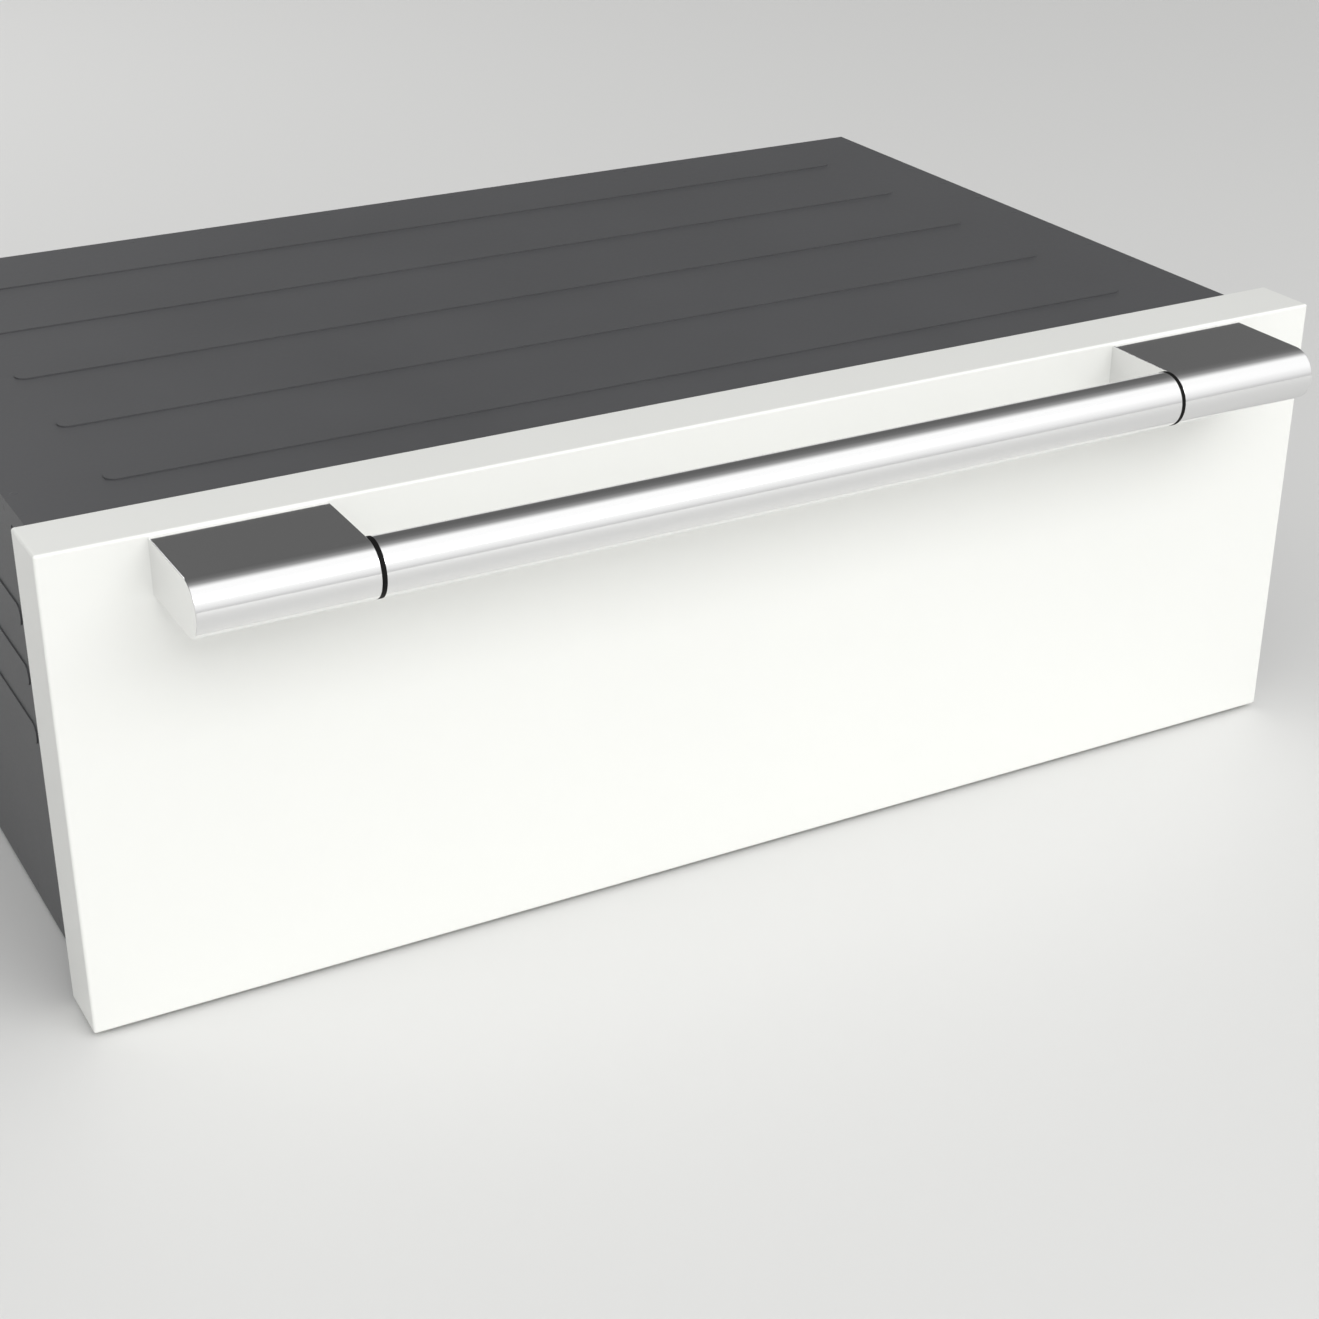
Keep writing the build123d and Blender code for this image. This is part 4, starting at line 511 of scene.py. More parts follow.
# ---- mesh building ----
class Builder:
    """Collects the faces of one piece."""

    def __init__(self):
        self.mesh = bmesh.new()

    def rings(self, rings, closed=False, cap=True):
        """Skin over equal rings of points, each a closed loop."""
        rows = [[self.mesh.verts.new(point) for point in ring] for ring in rings]
        count = len(rows[0])
        pairs = list(zip(rows, rows[1:])) + ([(rows[-1], rows[0])] if closed else [])
        for one, two in pairs:
            for i in range(count):
                j = (i + 1) % count
                self.mesh.faces.new((one[i], one[j], two[j], two[i]))
        if cap and not closed:
            self.mesh.faces.new(list(reversed(rows[0])))
            self.mesh.faces.new(rows[-1])

    def turned(self, centre, axis, outline, segments=0, shape=None, closed=False):
        """Turns (along, radius) pairs about an axis; shape scales the radius by step and angle."""
        axis = Vector(axis).normalized()
        side = Vector((1, 0, 0)) if abs(axis.z) > 0.9 else Vector((0, 0, 1))
        side = (side - axis * side.dot(axis)).normalized()
        other = axis.cross(side)
        segments = segments or details().round_segments
        rings = []
        for step, (along, radius) in enumerate(outline):
            ring = []
            for i in range(segments):
                angle = 2 * math.pi * i / segments
                reach = radius * (shape(step, angle) if shape else 1.0)
                spoke = side * math.cos(angle) + other * math.sin(angle)
                ring.append(Vector(centre) + axis * along + spoke * reach)
            rings.append(ring)
        self.rings(rings, closed=closed)

    def block(self, low, high, bevel=0.0, segments=2):
        """A box between two corners, with rounded edges."""
        low = Vector(low)
        high = Vector(high)
        made = bmesh.ops.create_cube(self.mesh, size=1.0)["verts"]
        for vert in made:
            vert.co = Vector([low[i] + (high[i] - low[i]) * (vert.co[i] + 0.5) for i in range(3)])
        if bevel:
            edges = list({edge for vert in made for edge in vert.link_edges})
            bmesh.ops.bevel(self.mesh, geom=edges, offset=bevel, segments=segments, profile=0.5,
                            affect="EDGES", clamp_overlap=True)

    def prism(self, outline, base, top):
        """A flat outline raised between two heights."""
        self.rings([[Vector((a, b, height)) for a, b in outline] for height in (base, top)])

    def sheet(self, top, bottom):
        """A closed thin shell between two grids of points of the same size."""
        rows, columns = len(top), len(top[0])
        upper = [[self.mesh.verts.new(point) for point in row] for row in top]
        lower = [[self.mesh.verts.new(point) for point in row] for row in bottom]
        for i in range(rows - 1):
            for j in range(columns - 1):
                self.mesh.faces.new((upper[i][j], upper[i][j + 1], upper[i + 1][j + 1], upper[i + 1][j]))
                self.mesh.faces.new((lower[i][j], lower[i + 1][j], lower[i + 1][j + 1], lower[i][j + 1]))
        rim = [(0, j) for j in range(columns)] + [(i, columns - 1) for i in range(1, rows)]
        rim += [(rows - 1, j) for j in range(columns - 2, -1, -1)] + [(i, 0) for i in range(rows - 2, 0, -1)]
        for (i, j), (k, m) in zip(rim, rim[1:] + rim[:1]):
            self.mesh.faces.new((upper[i][j], lower[i][j], lower[k][m], upper[k][m]))

    def copy(self, mesh, matrix):
        """Adds a copy of a mesh, moved by a matrix."""
        start = len(self.mesh.verts)
        self.mesh.from_mesh(mesh)
        self.mesh.verts.ensure_lookup_table()
        for vert in self.mesh.verts[start:]:
            vert.co = matrix @ vert.co

    def to_mesh(self, name, angle=35.0):
        bmesh.ops.recalc_face_normals(self.mesh, faces=self.mesh.faces)
        mesh = bpy.data.meshes.new(name)
        self.mesh.to_mesh(mesh)
        self.mesh.free()
        for face in mesh.polygons:
            face.use_smooth = True
        mesh.set_sharp_from_angle(angle=math.radians(angle))
        return mesh

    def piece(self, name, finish_name, body=None, replaces=()):
        """The finished piece: its material, the body it rides on and what it stands for."""
        item = bpy.data.objects.new(name, self.to_mesh(name))
        bpy.context.scene.collection.objects.link(item)
        item.data.materials.append(finish(finish_name))
        if body:
            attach(item, body)
        if replaces:
            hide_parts(*replaces)
        return item


def in_mm(*pairs):
    """Pairs given in millimetres, as pairs in metres."""
    return [(a * MM, b * MM) for a, b in pairs]


def evenly(first, last, pitch):
    """Places from first to last, no further apart than pitch."""
    steps = max(1, math.ceil(abs(last - first) / pitch - 1e-9))
    return [first + (last - first) * i / steps for i in range(steps + 1)]


def rounded_loop(half_x, half_y, corner, steps=8):
    """Points and outward directions round a rectangle with round corners, about its middle."""
    points = []
    for quarter, (sx, sy) in enumerate(((1, 1), (-1, 1), (-1, -1), (1, -1))):
        for i in range(steps + 1):
            angle = math.radians(90 * quarter + 90 * i / steps)
            outward = Vector((math.cos(angle), math.sin(angle)))
            centre = Vector((sx * (half_x - corner), sy * (half_y - corner)))
            points.append((centre + outward * corner, outward))
    return points


def swept_ring(builder, loop, place, profile):
    """Sweeps a closed profile of (outward, up) pairs round a loop; place makes a point in space."""
    builder.rings([[place(point + outward * across, up) for across, up in profile]
                   for point, outward in loop], closed=True)


def arc(centre, radius, first, last, steps):
    """Points on an arc in a plane, angles in degrees."""
    points = []
    for i in range(steps + 1):
        angle = math.radians(first + (last - first) * i / steps)
        points.append((centre[0] + radius * math.cos(angle), centre[1] + radius * math.sin(angle)))
    return points


def polygon_shape(sides, limits=None):
    """Radius factor of a polygon with the given number of sides; limits trims its corners per step."""
    def factor(step, angle):
        half = math.pi / sides
        reach = 1.0 / math.cos((angle % (2 * half)) - half)
        return min(reach, limits[step]) if limits else reach
    return factor


def loose_boxes(node):
    """Boxes of the separate solids in a CAD node."""
    mesh = bmesh.new()
    mesh.from_mesh(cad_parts[node].data)
    bmesh.ops.remove_doubles(mesh, verts=mesh.verts, dist=1e-6)
    unseen = set(mesh.verts)
    boxes = []
    while unseen:
        stack = [unseen.pop()]
        found = []
        while stack:
            vert = stack.pop()
            found.append(vert.co.copy())
            for edge in vert.link_edges:
                other = edge.other_vert(vert)
                if other in unseen:
                    unseen.discard(other)
                    stack.append(other)
        low = Vector([min(co[i] for co in found) for i in range(3)])
        high = Vector([max(co[i] for co in found) for i in range(3)])
        boxes.append((low, high))
    mesh.free()
    return sorted(boxes, key=lambda box: tuple(round(value, 4) for value in box[0]))


# ---- operators ----
class DISHWASHER_OT_finishes(bpy.types.Operator):
    """Gives every CAD node its finish."""
    bl_idname = "dishwasher.finishes"
    bl_label = "Apply Finishes"

    def execute(self, context):
        finished = set()
        for name, nodes in FINISH_OF.items():
            for node in nodes:
                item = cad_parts[node]
                item.data.materials.clear()
                item.data.materials.append(finish(name))
                finished.add(node)
        missing = set(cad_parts) - finished
        if missing:
            raise RuntimeError("nodes without a finish: " + ", ".join(sorted(missing)))
        return {"FINISHED"}


class DISHWASHER_OT_seals(bpy.types.Operator):
    """Bulb seals: on the front's back, and on the tub's rim."""
    bl_idname = "dishwasher.seals"
    bl_label = "Make Seals"

    def execute(self, context):
        make_front_seal()
        make_rim_seal()
        return {"FINISHED"}


def make_front_seal():
    """Bulb on a flange, round the chassis mouth."""
    low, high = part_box("front_seal")
    middle = (low + high) / 2
    width = 6.2 * MM
    depth = high.y - low.y
    inset = width / 2 + 0.2 * MM
    loop = rounded_loop((high.x - low.x) / 2 - inset, (high.z - low.z) / 2 - inset, 4 * MM)
    flange_height = 0.8 * MM
    bulb = [(a * 1.15, min(b + flange_height, depth)) for a, b in arc((0.0, 0.0), 1.9 * MM, 0, 180, 12)]
    flange = [(-width / 2, flange_height), (-width / 2, 0.0), (width / 2, 0.0), (width / 2, flange_height)]
    profile = bulb + flange
    build = Builder()
    swept_ring(build, loop, lambda p, up: Vector((middle.x + p.x, low.y + up, middle.z + p.y)), profile)
    build.piece("front_bulb_seal", "rubber", "drawer", ("front_seal",))


def make_rim_seal():
    """Bulb between two low lips, all round the tub's rim."""
    low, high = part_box("tub_gasket")
    middle = (low + high) / 2
    width = 6 * MM
    height = high.z - low.z
    corner = 35.5 * MM
    loop = rounded_loop((high.x - low.x - width) / 2, (high.y - low.y - width) / 2, corner, 14)
    lip = 1.6 * MM
    bulb = [(a, min(b * 1.1, height)) for a, b in arc((0.0, 1.2 * MM), 1.9 * MM, -20, 200, 14)]
    edge = [(width / 2, 0.0), (width / 2, lip), (width / 2 - 0.5 * MM, lip), (width / 2 - 0.6 * MM, 0.9 * MM)]
    profile = edge + bulb + [(-a, b) for a, b in reversed(edge)]
    build = Builder()
    swept_ring(build, loop, lambda p, up: Vector((middle.x + p.x, middle.y + p.y, low.z + up)), profile)
    build.piece("rim_bulb_seal", "gasket_rubber", "drawer", ("tub_gasket",))


class DISHWASHER_OT_drain_hose(bpy.types.Operator):
    """Corrugated drain hose behind the tub, with a spring clamp at each end."""
    bl_idname = "dishwasher.drain_hose"
    bl_label = "Make Drain Hose"

    def execute(self, context):
        line = smooth_route([Vector(point) * MM for point in HOSE_ROUTE], 0.7 * MM)
        make_hose(line)
        make_clamp("drawer_hose_clamp", line[8], line[9] - line[8], "drawer")
        make_clamp("chassis_hose_clamp", line[-9], line[-9] - line[-10], "chassis")
        return {"FINISHED"}


HOSE_ROUTE = (
    (-98, 227.75, 39.5),
    (-98, 293.15, 39.5),
    (-36, 293.15, 39.5),
    (32.4, 293.15, 236),
    (136.4, 293.15, 236),
    (206.8, 293.15, 39.5),
    (278.8, 293.15, 39.5),
)
HOSE_RADIUS = 8 * MM
HOSE_BORE = 6.1 * MM
CUFF = 24 * MM


def smooth_route(points, spacing):
    """Evenly spaced places along the smooth curve that the points steer."""
    curve = bpy.data.curves.new("route", "CURVE")
    curve.dimensions = "3D"
    spline = curve.splines.new("NURBS")
    spline.points.add(len(points) - 1)
    for target, point in zip(spline.points, points):
        target.co = (point.x, point.y, point.z, 1.0)
    spline.order_u = 3
    spline.use_endpoint_u = True
    spline.resolution_u = 32
    holder = bpy.data.objects.new("route", curve)
    mesh = bpy.data.meshes.new_from_object(holder)
    fine = [vert.co.copy() for vert in mesh.vertices]
    bpy.data.objects.remove(holder)
    bpy.data.curves.remove(curve)
    bpy.data.meshes.remove(mesh)
    reach = [0.0]
    for one, two in zip(fine, fine[1:]):
        reach.append(reach[-1] + (two - one).length)
    count = max(2, round(reach[-1] / spacing))
    places = []
    span = 0
    for i in range(count + 1):
        goal = reach[-1] * i / count
        while span < len(fine) - 2 and reach[span + 1] < goal:
            span += 1
        share = (goal - reach[span]) / max(1e-12, reach[span + 1] - reach[span])
        places.append(fine[span].lerp(fine[span + 1], min(1.0, share)))
    return places


def frames_along(line):
    """Two cross directions at each place of a line, carried along without twist."""
    ahead = (line[1] - line[0]).normalized()
    side = ahead.orthogonal().normalized()
    frames = []
    for i in range(len(line)):
        ahead = (line[min(i + 1, len(line) - 1)] - line[max(i - 1, 0)]).normalized()
        side = (side - ahead * side.dot(ahead)).normalized()
        frames.append((side, ahead.cross(side)))
    return frames


def make_hose(line):
    """Corrugated tube with plain cuffs; one closed skin, outside and bore."""
    total = sum((b - a).length for a, b in zip(line, line[1:]))
    step = total / (len(line) - 1)
    pitch = details().hose_pitch
    depth = details().hose_depth
    frames = frames_along(line)
    segments = details().round_segments

    def ring(i, radius):
        side, other = frames[i]
        return [line[i] + (side * math.cos(2 * math.pi * k / segments)
                           + other * math.sin(2 * math.pi * k / segments)) * radius for k in range(segments)]

    rings = []
    for i in range(len(line)):
        place = i * step
        inside = min(place, total - place) - CUFF
        wave = 0.5 - 0.5 * math.cos(2 * math.pi * inside / pitch) if inside > 0 else 0.0
        rings.append(ring(i, HOSE_RADIUS - depth * wave))
    for i in range(len(line) - 1, -1, -6):
        rings.append(ring(i, HOSE_BORE))
    rings.append(ring(0, HOSE_BORE))
    build = Builder()
    build.rings(rings, closed=True)
    hose = build.piece("drain_hose", "rubber", replaces=("service_hose",))
    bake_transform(hose)


def make_clamp(name, place, ahead, body):
    """Spring band with its two upturned ears."""
    ahead = ahead.normalized()
    band = HOSE_RADIUS + 0.1 * MM
    outer = band + 0.9 * MM
    half = 3.5 * MM
    outline = [(-half, band), (-half, outer), (half, outer), (half, band)]
    build = Builder()
    build.turned(place, ahead, outline, 40, closed=True)
    up = Vector((0, 0, 1))
    across = ahead.cross(up).normalized()
    for turn in (-1, 1):
        foot = place + up * outer + across * turn * 2.2 * MM
        outline_of_ear = in_mm((-0.5, -2.4), (0.5, -2.4), (0.5, 2.4), (-0.5, 2.4))
        build.rings([[foot + across * a + ahead * b + up * height for a, b in outline_of_ear]
                     for height in (-0.6 * MM, 5.5 * MM)])
    build.piece(name, "stainless", body)


class DISHWASHER_OT_screws(bpy.types.Operator):
    """Cross-recess screws in the chassis sides and back."""
    bl_idname = "dishwasher.screws"
    bl_label = "Make Chassis Screws"

    def execute(self, context):
        head = screw_head_mesh()
        build = Builder()
        for low, high in loose_boxes("chassis_screws"):
            middle = (low + high) / 2
            size = high - low
            if abs(size.y - size.z) < abs(size.x - size.z):
                outward = Vector((1.0 if middle.x > 0 else -1.0, 0, 0))
                tip = Vector((high.x if middle.x > 0 else low.x, middle.y, middle.z))
            else:
                outward = Vector((0, 1, 0))
                tip = Vector((middle.x, high.y, middle.z))
            turn = outward.to_track_quat("Z", "Y").to_matrix().to_4x4()
            turn.translation = tip
            build.copy(head, turn)
        build.piece("chassis_screw_set", "plated_screw", "chassis", ("chassis_screws",))
        bpy.data.meshes.remove(head)
        return {"FINISHED"}


SCREW_HEAD = 4.0 * MM
HEAD_HEIGHT = 2.2 * MM
SHANK = 2.0 * MM
SHANK_LENGTH = 5.0 * MM


def screw_head_mesh():
    """Pan head with a tapered cross recess and a short shank; the head's top is at Z = 0."""
    depth = details().recess_depth
    turns = [math.radians(angle) for angle in range(10, 86, 15)]
    dome = [(-HEAD_HEIGHT + HEAD_HEIGHT * math.sin(turn), SCREW_HEAD * math.cos(turn) ** 0.55)
            for turn in turns]
    outline = [(-HEAD_HEIGHT - SHANK_LENGTH, SHANK * 0.8), (-HEAD_HEIGHT - SHANK_LENGTH + 0.6 * MM, SHANK),
               (-HEAD_HEIGHT, SHANK), (-HEAD_HEIGHT, SCREW_HEAD)] + dome + [(0.0, 0.25 * MM)]
    body = Builder()
    body.turned((0, 0, 0), (0, 0, 1), outline, 32)
    cutter = Builder()
    for crosswise in (False, True):
        rings = []
        for height, reach, width in ((-depth, 1.3 * MM, 0.35 * MM), (0.3 * MM, 2.4 * MM, 0.62 * MM)):
            corners = bar(-reach, reach, -width, width)
            rings.append([Vector((-b, a, height) if crosswise else (a, b, height)) for a, b in corners])
        cutter.rings(rings)
    head = bpy.data.objects.new("screw_head", body.to_mesh("screw_head"))
    tool = bpy.data.objects.new("screw_recess", cutter.to_mesh("screw_recess"))
    for item in (head, tool):
        bpy.context.scene.collection.objects.link(item)
    cut = head.modifiers.new("recess", "BOOLEAN")
    cut.operation = "DIFFERENCE"
    cut.object = tool
    cut.solver = "EXACT"
    cut.use_self = True
    shaped = head.evaluated_get(bpy.context.evaluated_depsgraph_get())
    mesh = bpy.data.meshes.new_from_object(shaped)
    for item in (head, tool):
        bpy.data.objects.remove(item)
    return mesh


class DISHWASHER_OT_services(bpy.types.Operator):
    """Water inlet, drain outlet and mains terminal box at the back."""
    bl_idname = "dishwasher.services"
    bl_label = "Make Service Fittings"

    def execute(self, context):
        make_inlet()
        make_drain_outlet()
        make_terminal_box()
        return {"FINISHED"}


def thread_outline(start, end, crest, pitch, steps=8):
    """Even steps along a threaded stretch."""
    count = max(2, round((end - start) / pitch * steps))
    return [(start + (end - start) * i / count, crest) for i in range(count + 1)]


def make_inlet():
    """Fill valve: threaded inlet with a strainer, coil and outlet."""
    low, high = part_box("inlet_valve")
    panel_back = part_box("back_panel")[1].y
    middle_x = (low.x + high.x) / 2
    centre = Vector((middle_x, panel_back, low.z + 24 * MM))
    crest = 13.2 * MM
    collar_end = 1.5 * MM
    reach = high.y - panel_back
    pitch = details().thread_pitch
    depth = details().thread_depth
    bore = 7.5 * MM
    thread = thread_outline(collar_end + 0.6 * MM, reach - 1.6 * MM, crest, pitch)
    outline = [(-1.0 * MM, 15.6 * MM), (collar_end - 0.4 * MM, 15.8 * MM), (collar_end, 15.4 * MM),
               (collar_end, crest - depth)]
    first = len(outline)
    outline += thread
    outline += [(reach - 0.9 * MM, crest - depth * 0.9), (reach, crest - depth * 1.6), (reach, bore),
                (-6 * MM, bore), (-6 * MM, 12 * MM)]

    def shape(step, angle):
        if not first <= step < first + len(thread):
            return 1.0
        along = thread[step - first][0]
        phase = (along / pitch - angle / (2 * math.pi)) % 1.0
        return 1.0 - depth * abs(2 * phase - 1.0) / crest
    build = Builder()
    build.turned(centre, (0, 1, 0), outline, 64, shape, closed=True)
    strainer = [(3 * MM, bore), (2 * MM, bore)]
    strainer += in_mm((2, 6.2), (8, 3.4), (9, 1.0), (9.8, 1.0), (8.6, 4.2), (3, 6.8))
    build.turned(centre, (0, 1, 0), strainer, 24, closed=True)
    build.block((low.x, low.y, low.z), (high.x, panel_back - 1.2 * MM, low.z + 48 * MM), 3 * MM)
    coil = Vector((middle_x, low.y + 14 * MM, low.z + 47 * MM))
    ribs = [(0.0, 9 * MM)]
    for i in range(7):
        base = 3 + i * 3.4
        ribs += in_mm((base, 13), (base + 1.7, 13), (base + 1.7, 12.2), (base + 3.4, 12.2))
    ribs += [(high.z - coil.z, 8 * MM)]
    build.turned(coil, (0, 0, 1), ribs, 32)
    build.piece("water_inlet_valve", "dark_plastic", "chassis", ("inlet_valve",))


def make_drain_outlet():
    """Barbed spigot outside, elbow and hose port inside."""
    low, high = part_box("drain_spigot")
    panel_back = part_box("back_panel")[1].y
    centre = Vector((high.x - 15 * MM, panel_back, low.z + 15 * MM))
    crest = 9 * MM
    root = 8.2 * MM
    bore = 6.5 * MM
    reach = high.y - panel_back
    outline = in_mm((-2, 11.4), (1.1, 11.6), (1.5, 11.2)) + [(1.5 * MM, root)]
    for start in evenly(5.0 * MM, reach - 5.0 * MM, 4.2 * MM):
        outline += [(start, root), (start + 0.2 * MM, crest), (start + 1.0 * MM, crest),
                    (start + 3.6 * MM, root)]
    outline += [(reach, root - 0.6 * MM), (reach, bore), (-22 * MM, bore), (-22 * MM, 9 * MM)]
    build = Builder()
    build.turned(centre, (0, 1, 0), outline, 40, closed=True)
    build.block((centre.x - 15 * MM, low.y, low.z), (high.x, panel_back - 1.2 * MM, high.z), 3 * MM)
    port = Vector((low.x, HOSE_ROUTE[-1][1] * MM, centre.z))
    length = centre.x - 15 * MM - low.x
    end = length + 1 * MM
    port_outline = in_mm((0.0, 5.4), (0.8, 6)) + [(end, 6 * MM), (end, 4 * MM), (0.0, 4 * MM)]
    build.turned(port, (1, 0, 0), port_outline, 32, closed=True)
    build.piece("drain_outlet_spigot", "dark_plastic", "chassis", ("drain_spigot",))


def make_terminal_box():
    """Terminal box with a screwed cover inside, and its cable gland outside."""
    low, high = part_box("junction_box")
    panel_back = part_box("back_panel")[1].y
    middle = (low + high) / 2
    build = Builder()
    build.block((low.x, low.y + 4 * MM, low.z), (high.x, panel_back - 1.2 * MM, high.z), 4 * MM, 3)
    lip = 1.5 * MM
    build.block((low.x - lip, low.y + 2.6 * MM, low.z - lip), (high.x + lip, low.y + 4.6 * MM, high.z + lip),
                0.6 * MM)
    for x in (low.x + 8 * MM, high.x - 8 * MM):
        for z in (low.z + 8 * MM, high.z - 8 * MM):
            screw = in_mm((0.0, 3.4), (1.0, 3.4), (1.6, 2.6))
            build.turned((x, low.y + 2.7 * MM, z), (0, -1, 0), screw, 20)
    build.piece("terminal_box", "dark_plastic", "chassis", ("junction_box",))
    centre = Vector((middle.x, panel_back, middle.z))
    reach = high.y - panel_back
    flat = 13 * MM * math.cos(math.pi / 6)
    nut = Builder()
    nut_outline = [(0.3 * MM, flat * 0.96), (1.2 * MM, flat), (6.0 * MM, flat), (6.9 * MM, flat * 0.96)]
    nut.turned(centre, (0, 1, 0), nut_outline, 48, polygon_shape(6, (1.06, 1.12, 1.12, 1.06)))
    dome = 10.2 * MM
    rise = [(6.6 * MM, dome * 0.9), (7.4 * MM, dome), (reach - 6 * MM, dome)]
    mouth = 5.6 * MM
    for turn in [math.radians(angle) for angle in range(15, 91, 15)]:
        rise.append((reach - 6 * MM + 5.4 * MM * math.sin(turn), mouth + (dome - mouth) * math.cos(turn)))
    rise += [(reach - 0.6 * MM, 4.25 * MM), (5 * MM, 4.25 * MM), (5 * MM, dome * 0.8)]

    def knurl(step, angle):
        return 1.0 + (0.03 * math.cos(18 * angle) if 1 <= step <= 3 else 0.0)
    nut.turned(centre, (0, 1, 0), rise, 144, knurl, closed=True)
    nut.piece("cable_gland_nut", "dark_plastic", "chassis")
    bush = Builder()
    end = reach - 0.4 * MM
    start = reach - 4 * MM
    bush_outline = [(start, 5.2 * MM), (end - 0.4 * MM, 5.6 * MM), (end, 5.2 * MM), (end, 4.3 * MM),
                    (start, 4.26 * MM)]
    bush.turned(centre, (0, 1, 0), bush_outline, 40, closed=True)
    bush.piece("cable_gland_bush", "rubber", "chassis")


class DISHWASHER_OT_sheet_details(bpy.types.Operator):
    """Louvres, spot welds and the blank plate on the chassis."""
    bl_idname = "dishwasher.sheet_details"
    bl_label = "Make Sheet Details"

    def execute(self, context):
        make_louvres()
        make_spot_welds()
        make_plate()
        return {"FINISHED"}


LOUVRE_PITCH = 24 * MM
SLOT_HEIGHT = 36 * MM
SLOT_BELOW_ROOF = 24 * MM
HOOD_ROWS = 14
HOOD_COLUMNS = 8


def make_louvres():
    """Pressed hoods over the vent slots, open on one side."""
    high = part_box("back_panel")[1]
    y = high.y
    top = high.z - SLOT_BELOW_ROOF + 2 * MM
    base = top - SLOT_HEIGHT - 4 * MM
    reach = details().louvre_reach
    gauge = 0.8 * MM
    half = high.x / 2
    build = Builder()
    for x in evenly(-half, half, LOUVRE_PITCH):
        outer = []
        inner = []
        for i in range(HOOD_ROWS + 1):
            share = i / HOOD_ROWS
            height = base + (top - base) * share
            swell = min(1.0, math.sin(math.pi * share) * 1.9) ** 0.7 if 0 < i < HOOD_ROWS else 0.0
            row = []
            under = []
            for j in range(HOOD_COLUMNS + 1):
                turn = math.radians(90 * j / HOOD_COLUMNS)
                across = x - 3.4 * MM + 6.8 * MM * (1 - math.cos(turn)) ** 0.8
                rise = reach * swell * math.sin(turn)
                row.append(Vector((across, y + 0.05 * MM + rise, height)))
                under.append(Vector((across, y + 0.02 * MM + max(0.0, rise - gauge), height)))
            outer.append(row)
            inner.append(under)
        build.sheet(outer, inner)
    build.piece("vent_hoods", "graphite_coat", "chassis")


def make_spot_welds():
    """Shallow round dimples along the sheet joints."""
    low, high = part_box("top_panel")
    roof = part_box("front_frame")[1].z
    side_low, side_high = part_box("side_panel_right")
    side_x = high.x
    build = Builder()
    dome = in_mm((-0.15, 2.6), (0.0, 2.5), (0.12, 2.0), (0.16, 1.2), (0.06, 0.5))
    front, back = low.y, high.y
    for _, side in SIDES:
        for y in evenly(front + 22 * MM, back - 22 * MM, 52 * MM):
            build.turned((side * (side_x - 7 * MM), y, roof), (0, 0, 1), dome, 16)
            build.turned((side * side_x, y, side_low.z + 7 * MM), (side, 0, 0), dome, 16)
            build.turned((side * side_x, y, side_high.z - 6 * MM), (side, 0, 0), dome, 16)
        for z in evenly(side_low.z + 40 * MM, side_high.z - 40 * MM, 42 * MM):
            build.turned((side * side_x, back - 8 * MM, z), (side, 0, 0), dome, 16)
    for x in evenly(low.x + 60 * MM, high.x - 60 * MM, 56 * MM):
        build.turned((x, front + 9 * MM, roof), (0, 0, 1), dome, 16)
        build.turned((x, back - 8 * MM, roof), (0, 0, 1), dome, 16)
        build.turned((x, back, roof - 8 * MM), (0, 1, 0), dome, 16)
        build.turned((x, back, side_low.z + 8 * MM), (0, 1, 0), dome, 16)
    build.piece("spot_welds", "graphite_coat", "chassis")


def make_plate():
    """Blank metal plate with a raised border, held by two rivets."""
    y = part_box("back_panel")[1].y
    left, right, base, top = -0.245, -0.155, 0.055, 0.110
    build = Builder()
    build.block((left, y - 0.1 * MM, base), (right, y + 0.45 * MM, top), 0.2 * MM, 1)
    rim = 0.7 * MM
    inset = 3 * MM
    side = inset + rim + 0.1 * MM
    frames = (((left + inset, base + inset), (right - inset, base + inset + rim)),
              ((left + inset, top - inset - rim), (right - inset, top - inset)),
              ((left + inset, base + side), (left + inset + rim, top - side)),
              ((right - inset - rim, base + side), (right - inset, top - side)))
    for (x0, z0), (x1, z1) in frames:
        build.block((x0, y + 0.3 * MM, z0), (x1, y + 0.65 * MM, z1), 0.1 * MM, 1)
    for x in (left + 1.6 * MM, right - 1.6 * MM):
        rivet = in_mm((0.2, 1.1), (0.8, 1.1), (1.2, 0.6))
        build.turned((x, y, (base + top) / 2), (0, 1, 0), rivet, 16)
    build.piece("blank_plate", "stainless", "chassis")


class DISHWASHER_OT_damping_mats(bpy.types.Operator):
    """Quilted damping mats on the outside of the tub."""
    bl_idname = "dishwasher.damping_mats"
    bl_label = "Make Damping Mats"

    def execute(self, context):
        low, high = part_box("tub")
        rim = 6 * MM
        wall_x = high.x - rim
        wall_y = high.y - rim
        base, top = 0.124, high.z - 16 * MM
        corner = 42 * MM
        build = Builder()
        for _, side in SIDES:
            start = Vector((side * wall_x, low.y + rim + corner, base))
            width = wall_y - low.y - rim - 2 * corner
            add_mat(build, start, Vector((0, 1, 0)), Vector((side, 0, 0)), width, top - base)
        start = Vector((-wall_x + corner, wall_y, base))
        add_mat(build, start, Vector((1, 0, 0)), Vector((0, 1, 0)), 2 * (wall_x - corner), top - base)
        build.piece("tub_damping_mats", "felt", "drawer")
        return {"FINISHED"}


